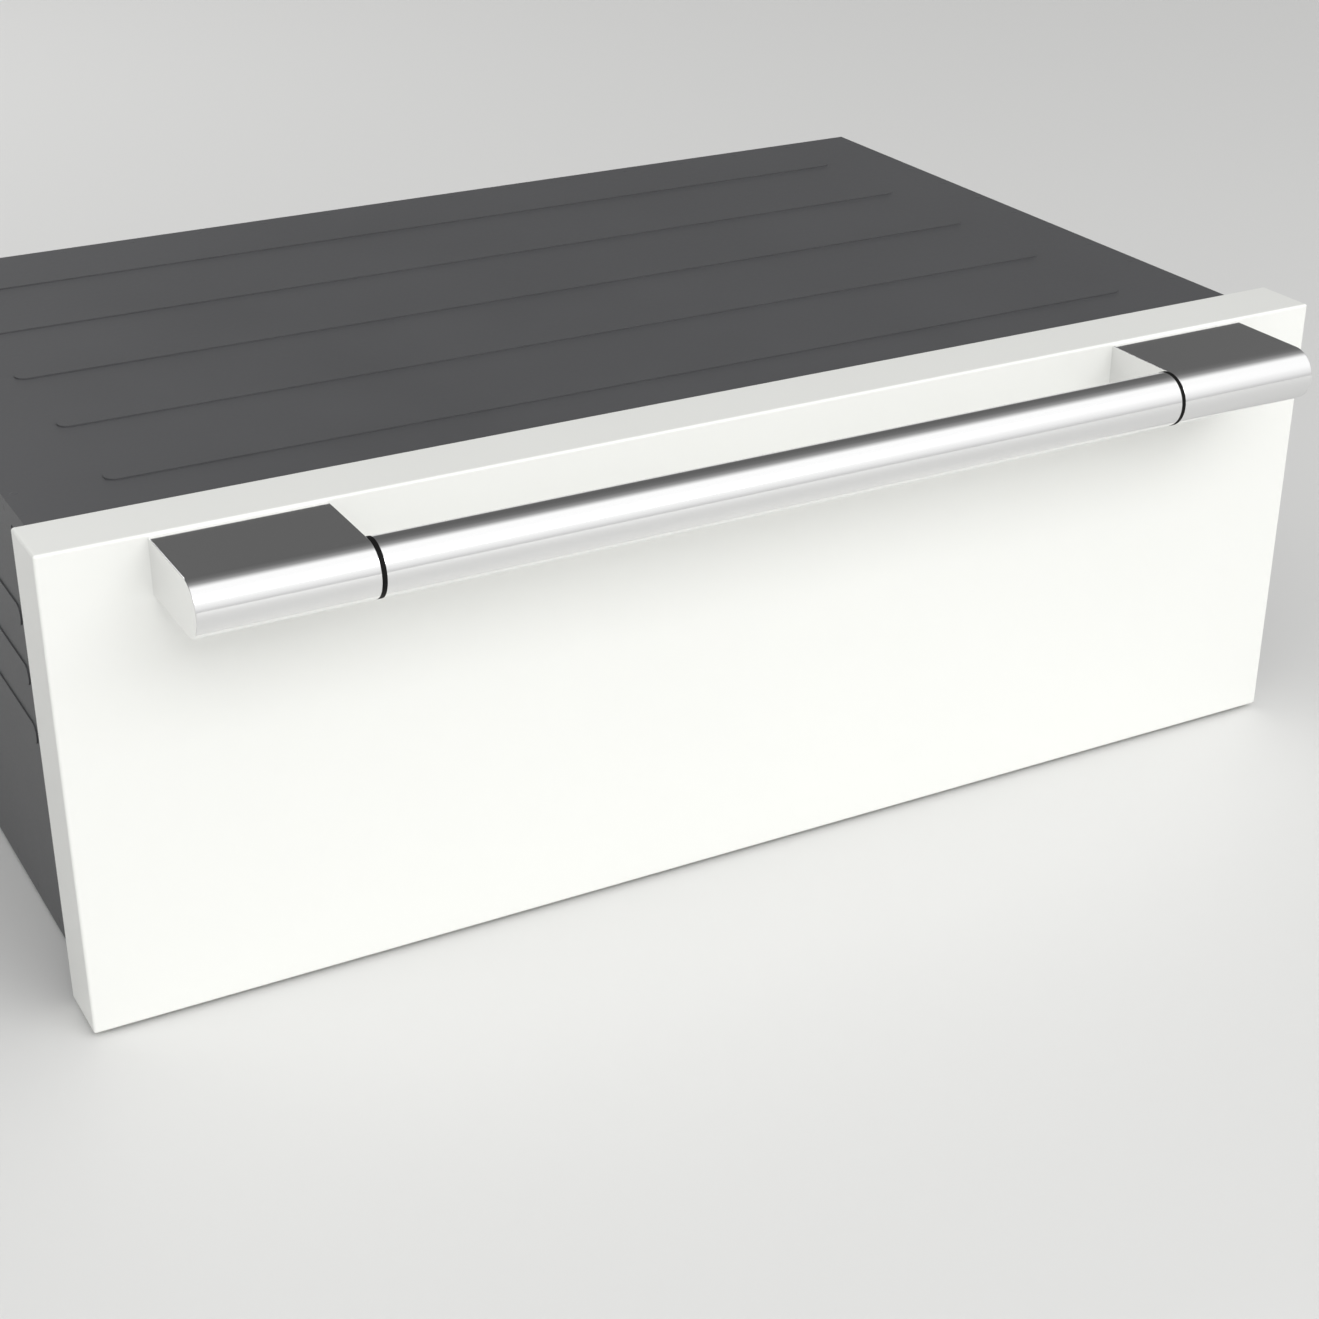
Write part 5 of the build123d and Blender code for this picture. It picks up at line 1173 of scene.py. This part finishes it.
def add_mat(build, corner, across, outward, width, height):
    """An upright mat pressed into diamonds, thin at its rolled edge."""
    up = Vector((0, 0, 1))
    thickness = details().mat_thickness
    thinnest = 0.25 * MM
    columns = max(8, round(width / (5 * MM)))
    rows = max(8, round(height / (5 * MM)))
    quilt = 38 * MM
    top = []
    bottom = []
    for i in range(rows + 1):
        b = height * i / rows
        line = []
        under = []
        for j in range(columns + 1):
            a = width * j / columns
            edge = min(a, width - a, b, height - b)
            roll = min(1.0, edge / (6 * MM))
            roll = math.sqrt(max(0.0, 1 - (1 - roll) ** 2))
            grooves = min(abs(((a + b) / quilt) % 1.0 - 0.5), abs(((a - b) / quilt) % 1.0 - 0.5))
            press = 1.0 - 0.45 * max(0.0, 1.0 - grooves / 0.12)
            proud = thinnest + (thickness - thinnest) * roll * press
            line.append(corner + across * a + up * b + outward * proud)
            under.append(corner + across * a + up * b + outward * 0.15 * MM)
        top.append(line)
        bottom.append(under)
    build.sheet(top, bottom)


class DISHWASHER_OT_rack_fittings(bpy.types.Operator):
    """Grips and feet on the rack, and the cutlery basket's handle."""
    bl_idname = "dishwasher.rack_fittings"
    bl_label = "Make Rack Fittings"

    def execute(self, context):
        make_grips()
        make_feet()
        make_basket_handle()
        return {"FINISHED"}


def make_grips():
    """Ribbed sleeves over the rack's top wires, front and back."""
    low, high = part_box("rack_ends")
    wire = 2 * MM
    half = 52 * MM
    build = Builder()
    end = [(-half, 2.2 * MM), (-half, 3.4 * MM), (-half + 1.4 * MM, 4.8 * MM)]
    outline = list(end)
    for start in evenly(-half + 8 * MM, half - 12 * MM, 8 * MM):
        outline += [(start + a, b) for a, b in in_mm((0, 4.9), (0.9, 4.2), (2.6, 4.2), (3.5, 4.9))]
    outline += [(-a, b) for a, b in reversed(end)]
    for y in (low.y + wire, high.y - wire):
        build.turned((0.0, y, high.z - wire), (1, 0, 0), outline, 24)
    build.piece("rack_grips", "dark_plastic", "drawer")


def make_feet():
    """Soft shoes on the rack's four legs."""
    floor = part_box("filter_plate")[0].z
    shoe = in_mm((0.15, 3.8), (0.4, 4.6), (1.6, 5.2), (11, 4.6), (12.5, 4.2), (13, 3.2))
    build = Builder()
    for x, y in leg_places():
        build.turned((x, y, floor), (0, 0, 1), shoe, 24)
    build.piece("rack_shoes", "dark_plastic", "drawer")


def leg_places():
    """Where the rack's legs reach the lowest level of its floor."""
    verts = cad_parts["rack_floor"].data.vertices
    lowest = min(vert.co.z for vert in verts)
    feet = [vert.co for vert in verts if vert.co.z < lowest + 0.1 * MM]
    places = []
    for sx in (-1, 1):
        near = [co for co in feet if co.x * sx > 0]
        middle = (min(co.y for co in near) + max(co.y for co in near)) / 2
        for back in (False, True):
            leg = [co for co in near if (co.y > middle) == back]
            places.append((sum(co.x for co in leg) / len(leg), sum(co.y for co in leg) / len(leg)))
    return places


def make_basket_handle():
    """Carrying strap that arches over the cutlery basket."""
    section = ((-1, -0.4), (-0.92, -1), (0.92, -1), (1, -0.4), (1, 0.4), (0.92, 1), (-0.92, 1), (-1, 0.4))
    half = 8 * MM
    gauge = 1.2 * MM
    low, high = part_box("cutlery_basket")
    x = (low.x + high.x) / 2
    rise = 36 * MM
    sink = 7 * MM
    y0, y1 = low.y + 1 * MM, high.y - 1 * MM
    places = []
    steps = 40
    for i in range(steps + 1):
        angle = math.pi * i / steps
        across = math.copysign(abs(math.cos(angle)) ** 0.35, math.cos(angle))
        up = math.sin(angle) ** 0.55
        places.append(Vector((x, (y0 + y1) / 2 - (y1 - y0) / 2 * across, high.z - sink + (rise + sink) * up)))
    rings = []
    for i, place in enumerate(places):
        ahead = (places[min(i + 1, steps)] - places[max(i - 1, 0)]).normalized()
        out = Vector((1, 0, 0)).cross(ahead)
        rings.append([place + Vector((a * half, 0, 0)) + out * b * gauge for a, b in section])
    build = Builder()
    build.rings(rings)
    build.piece("basket_handle", "basket_plastic", "drawer")


class DISHWASHER_OT_wash_details(bpy.types.Operator):
    """Nozzle rims, heater clips, the fill grille and the rinse-aid sight glass."""
    bl_idname = "dishwasher.wash_details"
    bl_label = "Make Wash Details"

    def execute(self, context):
        for name, side in SIDES:
            make_nozzle_rims(name, side)
        make_heater_clips()
        make_fill_grille()
        make_sight_glass()
        return {"FINISHED"}


STORED_TURN = 28.0
NOZZLE_OFFSET = 3 * MM


def make_nozzle_rims(name, side):
    """Raised rims round the nozzles, and a rib down each blade."""
    node = "spray_arm_" + name
    low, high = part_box(node)
    hub = Vector(((low.x + high.x) / 2, (low.y + high.y) / 2, high.z))
    turn = math.radians(side * STORED_TURN)
    along = Vector((math.cos(turn), math.sin(turn), 0))
    across = Vector((-along.y, along.x, 0))
    build = Builder()
    rim = in_mm((-0.3, 3.6), (0.5, 3.3), (0.9, 2.8), (0.9, 2.1), (-0.3, 1.75))
    sunk = Vector((0, 0, 0.5 * MM))
    for blade in (1, -1):
        for place in evenly(35 * MM, 180 * MM, 34 * MM)[:5]:
            nozzle = hub + (along * place + across * NOZZLE_OFFSET) * blade
            build.turned(nozzle, (0, 0, 1), rim, 20, closed=True)
        for offset in (-7 * MM, 11 * MM):
            start = hub + along * blade * 30 * MM + across * blade * offset * 0.8
            end = hub + along * blade * 165 * MM + across * blade * offset * 0.45
            half = across * 0.7 * MM
            rings = []
            for point in (start, start + along * blade * 2 * MM, end - along * blade * 2 * MM, end):
                lift = Vector((0, 0, 0.0 if point in (start, end) else 0.7 * MM))
                rings.append([point - half - sunk, point + half - sunk,
                              point + half * 0.6 + lift, point - half * 0.6 + lift])
            build.rings(rings)
    build.piece("nozzle_rims_" + name, "spray_plastic", node)


def make_heater_clips():
    """Sheet clips that hold the heater ring down to the tub floor."""
    low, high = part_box("heating_element")
    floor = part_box("filter_plate")[0].z
    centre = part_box("sump")
    middle = (centre[0] + centre[1]) / 2
    tube = 3.25 * MM
    ring = (high.x - low.x) / 2 - tube
    level = high.z - tube
    build = Builder()
    gauge = 0.8 * MM
    lift = 0.15 * MM
    strips = []
    for thick, bend in ((0.0, 1.4 * MM), (gauge, 1.9 * MM)):
        radius = tube + lift + thick
        foot = [(11 * MM, lift + thick), (tube + 1.2 * MM + thick, lift + thick), (radius, bend)]
        arch = arc((0.0, level - floor), radius, 0, 180, 12)
        strips.append(foot + arch + [(-a, b) for a, b in reversed(foot)])
    profile = strips[0] + strips[1][::-1]
    for angle in (35, 145, 215, 325):
        turn = math.radians(angle)
        spoke = Vector((math.cos(turn), math.sin(turn), 0))
        tangent = Vector((-spoke.y, spoke.x, 0))
        foot = Vector((middle.x, middle.y, floor)) + spoke * ring
        build.rings([[foot + spoke * a + Vector((0, 0, b)) + tangent * edge for a, b in profile]
                     for edge in (-4.5 * MM, 4.5 * MM)])
    build.piece("heater_clips", "stainless", "drawer")


def make_fill_grille():
    """Round grille on the tub's right wall where water comes in."""
    low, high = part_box("tub")
    wall = high.x - 9 * MM
    centre = Vector((wall, (low.y + high.y) / 2 - 70 * MM, high.z - 62 * MM))
    build = Builder()
    outline = in_mm((-0.3, 27), (1.6, 26.6), (2.6, 25.2), (2.6, 22.6), (1.2, 22))
    for ring in (19, 15, 11, 7):
        outline += in_mm((1.2, ring + 1.2), (2.3, ring + 0.9), (2.3, ring - 0.9), (1.2, ring - 1.2))
    outline += in_mm((1.2, 3.6), (2.6, 3.2), (2.9, 1.0))
    out = Vector((-2.3 * MM, 0, 0))
    build.turned(centre, (-1, 0, 0), outline, 48)
    for i in range(6):
        turn = math.pi * i / 6
        spoke = Vector((0, math.cos(turn), math.sin(turn)))
        side = Vector((0, -spoke.z, spoke.y)) * 0.9 * MM
        ends = [centre - spoke * 23 * MM, centre + spoke * 23 * MM]
        build.rings([[end - side, end + side, end + side * 0.7 + out, end - side * 0.7 + out]
                     for end in ends])
    build.piece("fill_grille", "spray_plastic", "drawer")


def make_sight_glass():
    """Domed sight glass for the rinse aid, in a thin collar."""
    cap_low, cap_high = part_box("rinse_cap")
    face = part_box("dispenser_lid")[0].y - 0.3 * MM
    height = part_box("dispenser_body")[0].z + 17 * MM
    centre = Vector(((cap_low.x + cap_high.x) / 2, face, height))
    lens = Builder()
    lens_outline = in_mm((-0.2, 4.6), (0.5, 4.5), (1.1, 3.6), (1.5, 2.0), (1.6, 0.4))
    lens.turned(centre, (0, 1, 0), lens_outline, 32)
    lens.piece("rinse_sight_glass", "smoked_window", "drawer")
    collar = Builder()
    collar_outline = in_mm((-0.2, 6.4), (0.7, 6.2), (1.0, 5.6), (1.0, 4.9), (-0.2, 4.65))
    collar.turned(centre, (0, 1, 0), collar_outline, 32, closed=True)
    collar.piece("rinse_sight_collar", "dark_plastic", "drawer")


class DISHWASHER_OT_controls(bpy.types.Operator):
    """Plain symbols on the keys, and status lights on the fascia."""
    bl_idname = "dishwasher.controls"
    bl_label = "Make Control Marks"

    def execute(self, context):
        for name, outlines in symbol_outlines().items():
            low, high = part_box("button_" + name)
            middle = (low + high) / 2
            build = Builder()
            for outline in outlines:
                placed = [(middle.x + a, middle.y + b) for a, b in outline]
                build.prism(placed, high.z - 0.05 * MM, high.z + 0.06 * MM)
            build.piece("symbol_" + name, "dark_ink", "button_" + name)
        make_status_lights()
        return {"FINISHED"}


def ring_part(radius, width, first, last):
    """A part of a flat ring."""
    return arc((0, 0), radius, first, last, 20) + list(reversed(arc((0, 0), radius - width, first, last, 20)))


def bar(x0, x1, y0, y1):
    """Corners of a rectangle."""
    return [(x0, y0), (x1, y0), (x1, y1), (x0, y1)]


def symbol_outlines():
    """Outlines of the three generic symbols, in metres about a key's middle."""
    line = 0.55 * MM
    power = [ring_part(2.6 * MM, line, 125, 415), bar(-line / 2, line / 2, 0.4 * MM, 3.3 * MM)]
    lines = [bar(-2.8 * MM, 2.8 * MM, y - line / 2, y + line / 2) for y in (-1.8 * MM, 0.0, 1.8 * MM)]
    start = [[(-1.8 * MM, -2.5 * MM), (2.6 * MM, 0.0), (-1.8 * MM, 2.5 * MM)]]
    return {"power": power, "program": lines, "start": start}


def make_status_lights():
    """Small domed lights beside the window."""
    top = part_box("control_fascia")[1].z
    low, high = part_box("display_window")
    y = (low.y + high.y) / 2
    dome = in_mm((-0.1, 1.2), (0.1, 1.15), (0.3, 0.7), (0.35, 0.2))
    build = Builder()
    for x in (low.x - 10 * MM, low.x - 18 * MM, low.x - 26 * MM, high.x + 7 * MM):
        build.turned((x, y, top), (0, 0, 1), dome, 20)
    build.piece("status_lights", "signal_green", "drawer")


class DISHWASHER_OT_slide_cages(bpy.types.Operator):
    """Ball cages in the slides."""
    bl_idname = "dishwasher.slide_cages"
    bl_label = "Make Slide Cages"

    def execute(self, context):
        build = Builder()
        for name, side in SIDES:
            low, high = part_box("slide_middle_" + name)
            inner_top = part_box("slide_inner_" + name)[1].z
            outer_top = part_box("slide_outer_" + name)[1].z
            middle_z = (low.z + high.z) / 2
            x = side * (min(abs(low.x), abs(high.x)) + 3 * MM)
            half_way = (low.y + high.y) / 2
            spans = ((half_way, high.y - 4 * MM, (outer_top - 1.2 * MM + high.z) / 2 - middle_z),
                     (low.y + 4 * MM, half_way, (high.z - 1.2 * MM + inner_top) / 2 - middle_z))
            half = Vector((2.4 * MM, 0, 0.25 * MM))
            for y0, y1, height in spans:
                for z in (middle_z + height, middle_z - height):
                    build.block(Vector((x, y0, z)) - half, Vector((x, y1, z)) + half, 0.1 * MM, 1)
        build.piece("ball_cages", "plated_screw", "slide_middles")
        return {"FINISHED"}


class DISHWASHER_OT_studio(bpy.types.Operator):
    """Floor, light and camera."""
    bl_idname = "dishwasher.studio"
    bl_label = "Make Studio"

    def execute(self, context):
        make_floor()
        make_sky()
        make_lamps()
        make_camera()
        return {"FINISHED"}


def make_floor():
    builder = bmesh.new()
    bmesh.ops.create_grid(builder, x_segments=4, y_segments=4, size=studio().floor_size / 2)
    mesh = bpy.data.meshes.new("floor")
    builder.to_mesh(mesh)
    builder.free()
    floor = bpy.data.objects.new("floor", mesh)
    floor.location.z = -0.0005
    bpy.context.scene.collection.objects.link(floor)
    floor.data.materials.append(new_material("pale_floor", pale_floor))


def make_sky():
    """Soft surround: pale all round the horizon, bright above it in front, and dark high up behind."""
    bpy.context.scene.view_settings.view_transform = "Standard"
    world = bpy.data.worlds.new("studio_sky")
    world.use_nodes = True
    bpy.context.scene.world = world
    graph = Graph(world.node_tree)
    heading = graph.add("ShaderNodeTexCoord", output="Generated")
    depth = graph.add("ShaderNodeSeparateXYZ", {}, (heading,), output="Y")
    height = graph.add("ShaderNodeSeparateXYZ", {}, (heading,), output="Z")
    ahead = graph.ramp(height, (0.0, 0.60), (0.14, 0.78), (0.34, 0.92), (0.46, 1.0))
    behind = graph.ramp(depth * 0.5 + 0.5, (0.46, 0.0), (0.59, 0.76), (0.72, 0.95), (0.86, 1.0))
    dark = behind * graph.ramp(height, (0.04, 0.0), (0.20, 1.0))
    glow = ahead * 1.19 * (1 - dark) + 0.138 * dark
    surround = graph.add("ShaderNodeBackground", {}, {"Color": glow, "Strength": 1.0})
    graph.add("ShaderNodeOutputWorld", {}, {"Surface": surround})


def make_lamps():
    """Two large soft panels facing down: over the floor in front, and over the floor behind."""
    low, high = cad_box
    middle = (Vector(low) + Vector(high)) / 2
    for name, place, size, power in (("front_panel", (0.4, -3.2, 2.5), (4.0, 2.4), 74.0),
                                     ("rear_panel", (-0.9, 2.6, 1.9), (2.2, 1.2), 16.0)):
        above = middle + Vector(place)
        add_panel(name, above, above - Vector((0, 0, 1)), size, power)


def add_panel(name, place, target, size, power):
    lamp = bpy.data.lights.new(name, "AREA")
    lamp.shape = "RECTANGLE"
    lamp.size, lamp.size_y = size
    lamp.energy = power
    item = bpy.data.objects.new(name, lamp)
    item.location = place
    item.rotation_euler = (target - place).to_track_quat("-Z", "Y").to_euler()
    bpy.context.scene.collection.objects.link(item)


def make_camera():
    """Camera to the left of the front, above it, looking down."""
    setup = studio()
    low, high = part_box("front_skin")
    width = high.x - low.x
    foot = Vector(((low.x + high.x) / 2, low.y, low.z))
    az, el, roll = setup.azimuth, setup.elevation, setup.roll
    ahead = Vector((math.sin(az) * math.cos(el), math.cos(az) * math.cos(el), -math.sin(el)))
    right = ahead.cross(Vector((0, 0, 1))).normalized()
    up = right.cross(ahead)
    turned_right = right * math.cos(roll) + up * math.sin(roll)
    turned_up = up * math.cos(roll) - right * math.sin(roll)
    camera = bpy.data.objects.new("camera", bpy.data.cameras.new("camera"))
    camera.data.sensor_width = 36.0
    camera.data.lens = setup.lens
    camera.data.shift_x, camera.data.shift_y = setup.shift
    place = foot + Vector(setup.station) * width
    columns = (turned_right, turned_up, -ahead)
    matrix = camera.matrix_world.copy()
    for column, axis in enumerate(columns):
        for row in range(3):
            matrix[row][column] = axis[row]
    for row in range(3):
        matrix[row][3] = place[row]
    camera.matrix_world = matrix
    bpy.context.scene.collection.objects.link(camera)
    bpy.context.scene.camera = camera


class DISHWASHER_PT_panel(bpy.types.Panel):
    """Lists the dishwasher's operators and settings."""
    bl_idname = "DISHWASHER_PT_panel"
    bl_label = "Dishwasher"
    bl_space_type = "VIEW_3D"
    bl_region_type = "UI"
    bl_category = "Dishwasher"

    def draw(self, context):
        layout = self.layout
        for step in STEPS:
            layout.operator(step.bl_idname)
        for group in (finishes(), details(), studio()):
            column = layout.column()
            for key in group.bl_rna.properties.keys():
                if key not in ("rna_type", "name"):
                    column.prop(group, key)


STEPS = (
    DISHWASHER_OT_finishes,
    DISHWASHER_OT_seals,
    DISHWASHER_OT_drain_hose,
    DISHWASHER_OT_screws,
    DISHWASHER_OT_services,
    DISHWASHER_OT_sheet_details,
    DISHWASHER_OT_damping_mats,
    DISHWASHER_OT_rack_fittings,
    DISHWASHER_OT_wash_details,
    DISHWASHER_OT_controls,
    DISHWASHER_OT_slide_cages,
    DISHWASHER_OT_studio,
)
CLASSES = (FinishSettings, DetailSettings, StudioSettings) + STEPS + (DISHWASHER_PT_panel,)


def register():
    for item in CLASSES:
        bpy.utils.register_class(item)
    bpy.types.Scene.dishwasher_finishes = PointerProperty(type=FinishSettings)
    bpy.types.Scene.dishwasher_details = PointerProperty(type=DetailSettings)
    bpy.types.Scene.dishwasher_studio = PointerProperty(type=StudioSettings)


def unregister():
    del bpy.types.Scene.dishwasher_studio
    del bpy.types.Scene.dishwasher_details
    del bpy.types.Scene.dishwasher_finishes
    for item in reversed(CLASSES):
        bpy.utils.unregister_class(item)


def main():
    register()
    for step in STEPS:
        group, name = step.bl_idname.split(".")
        getattr(getattr(bpy.ops, group), name)()


if __name__ == "__main__":
    main()
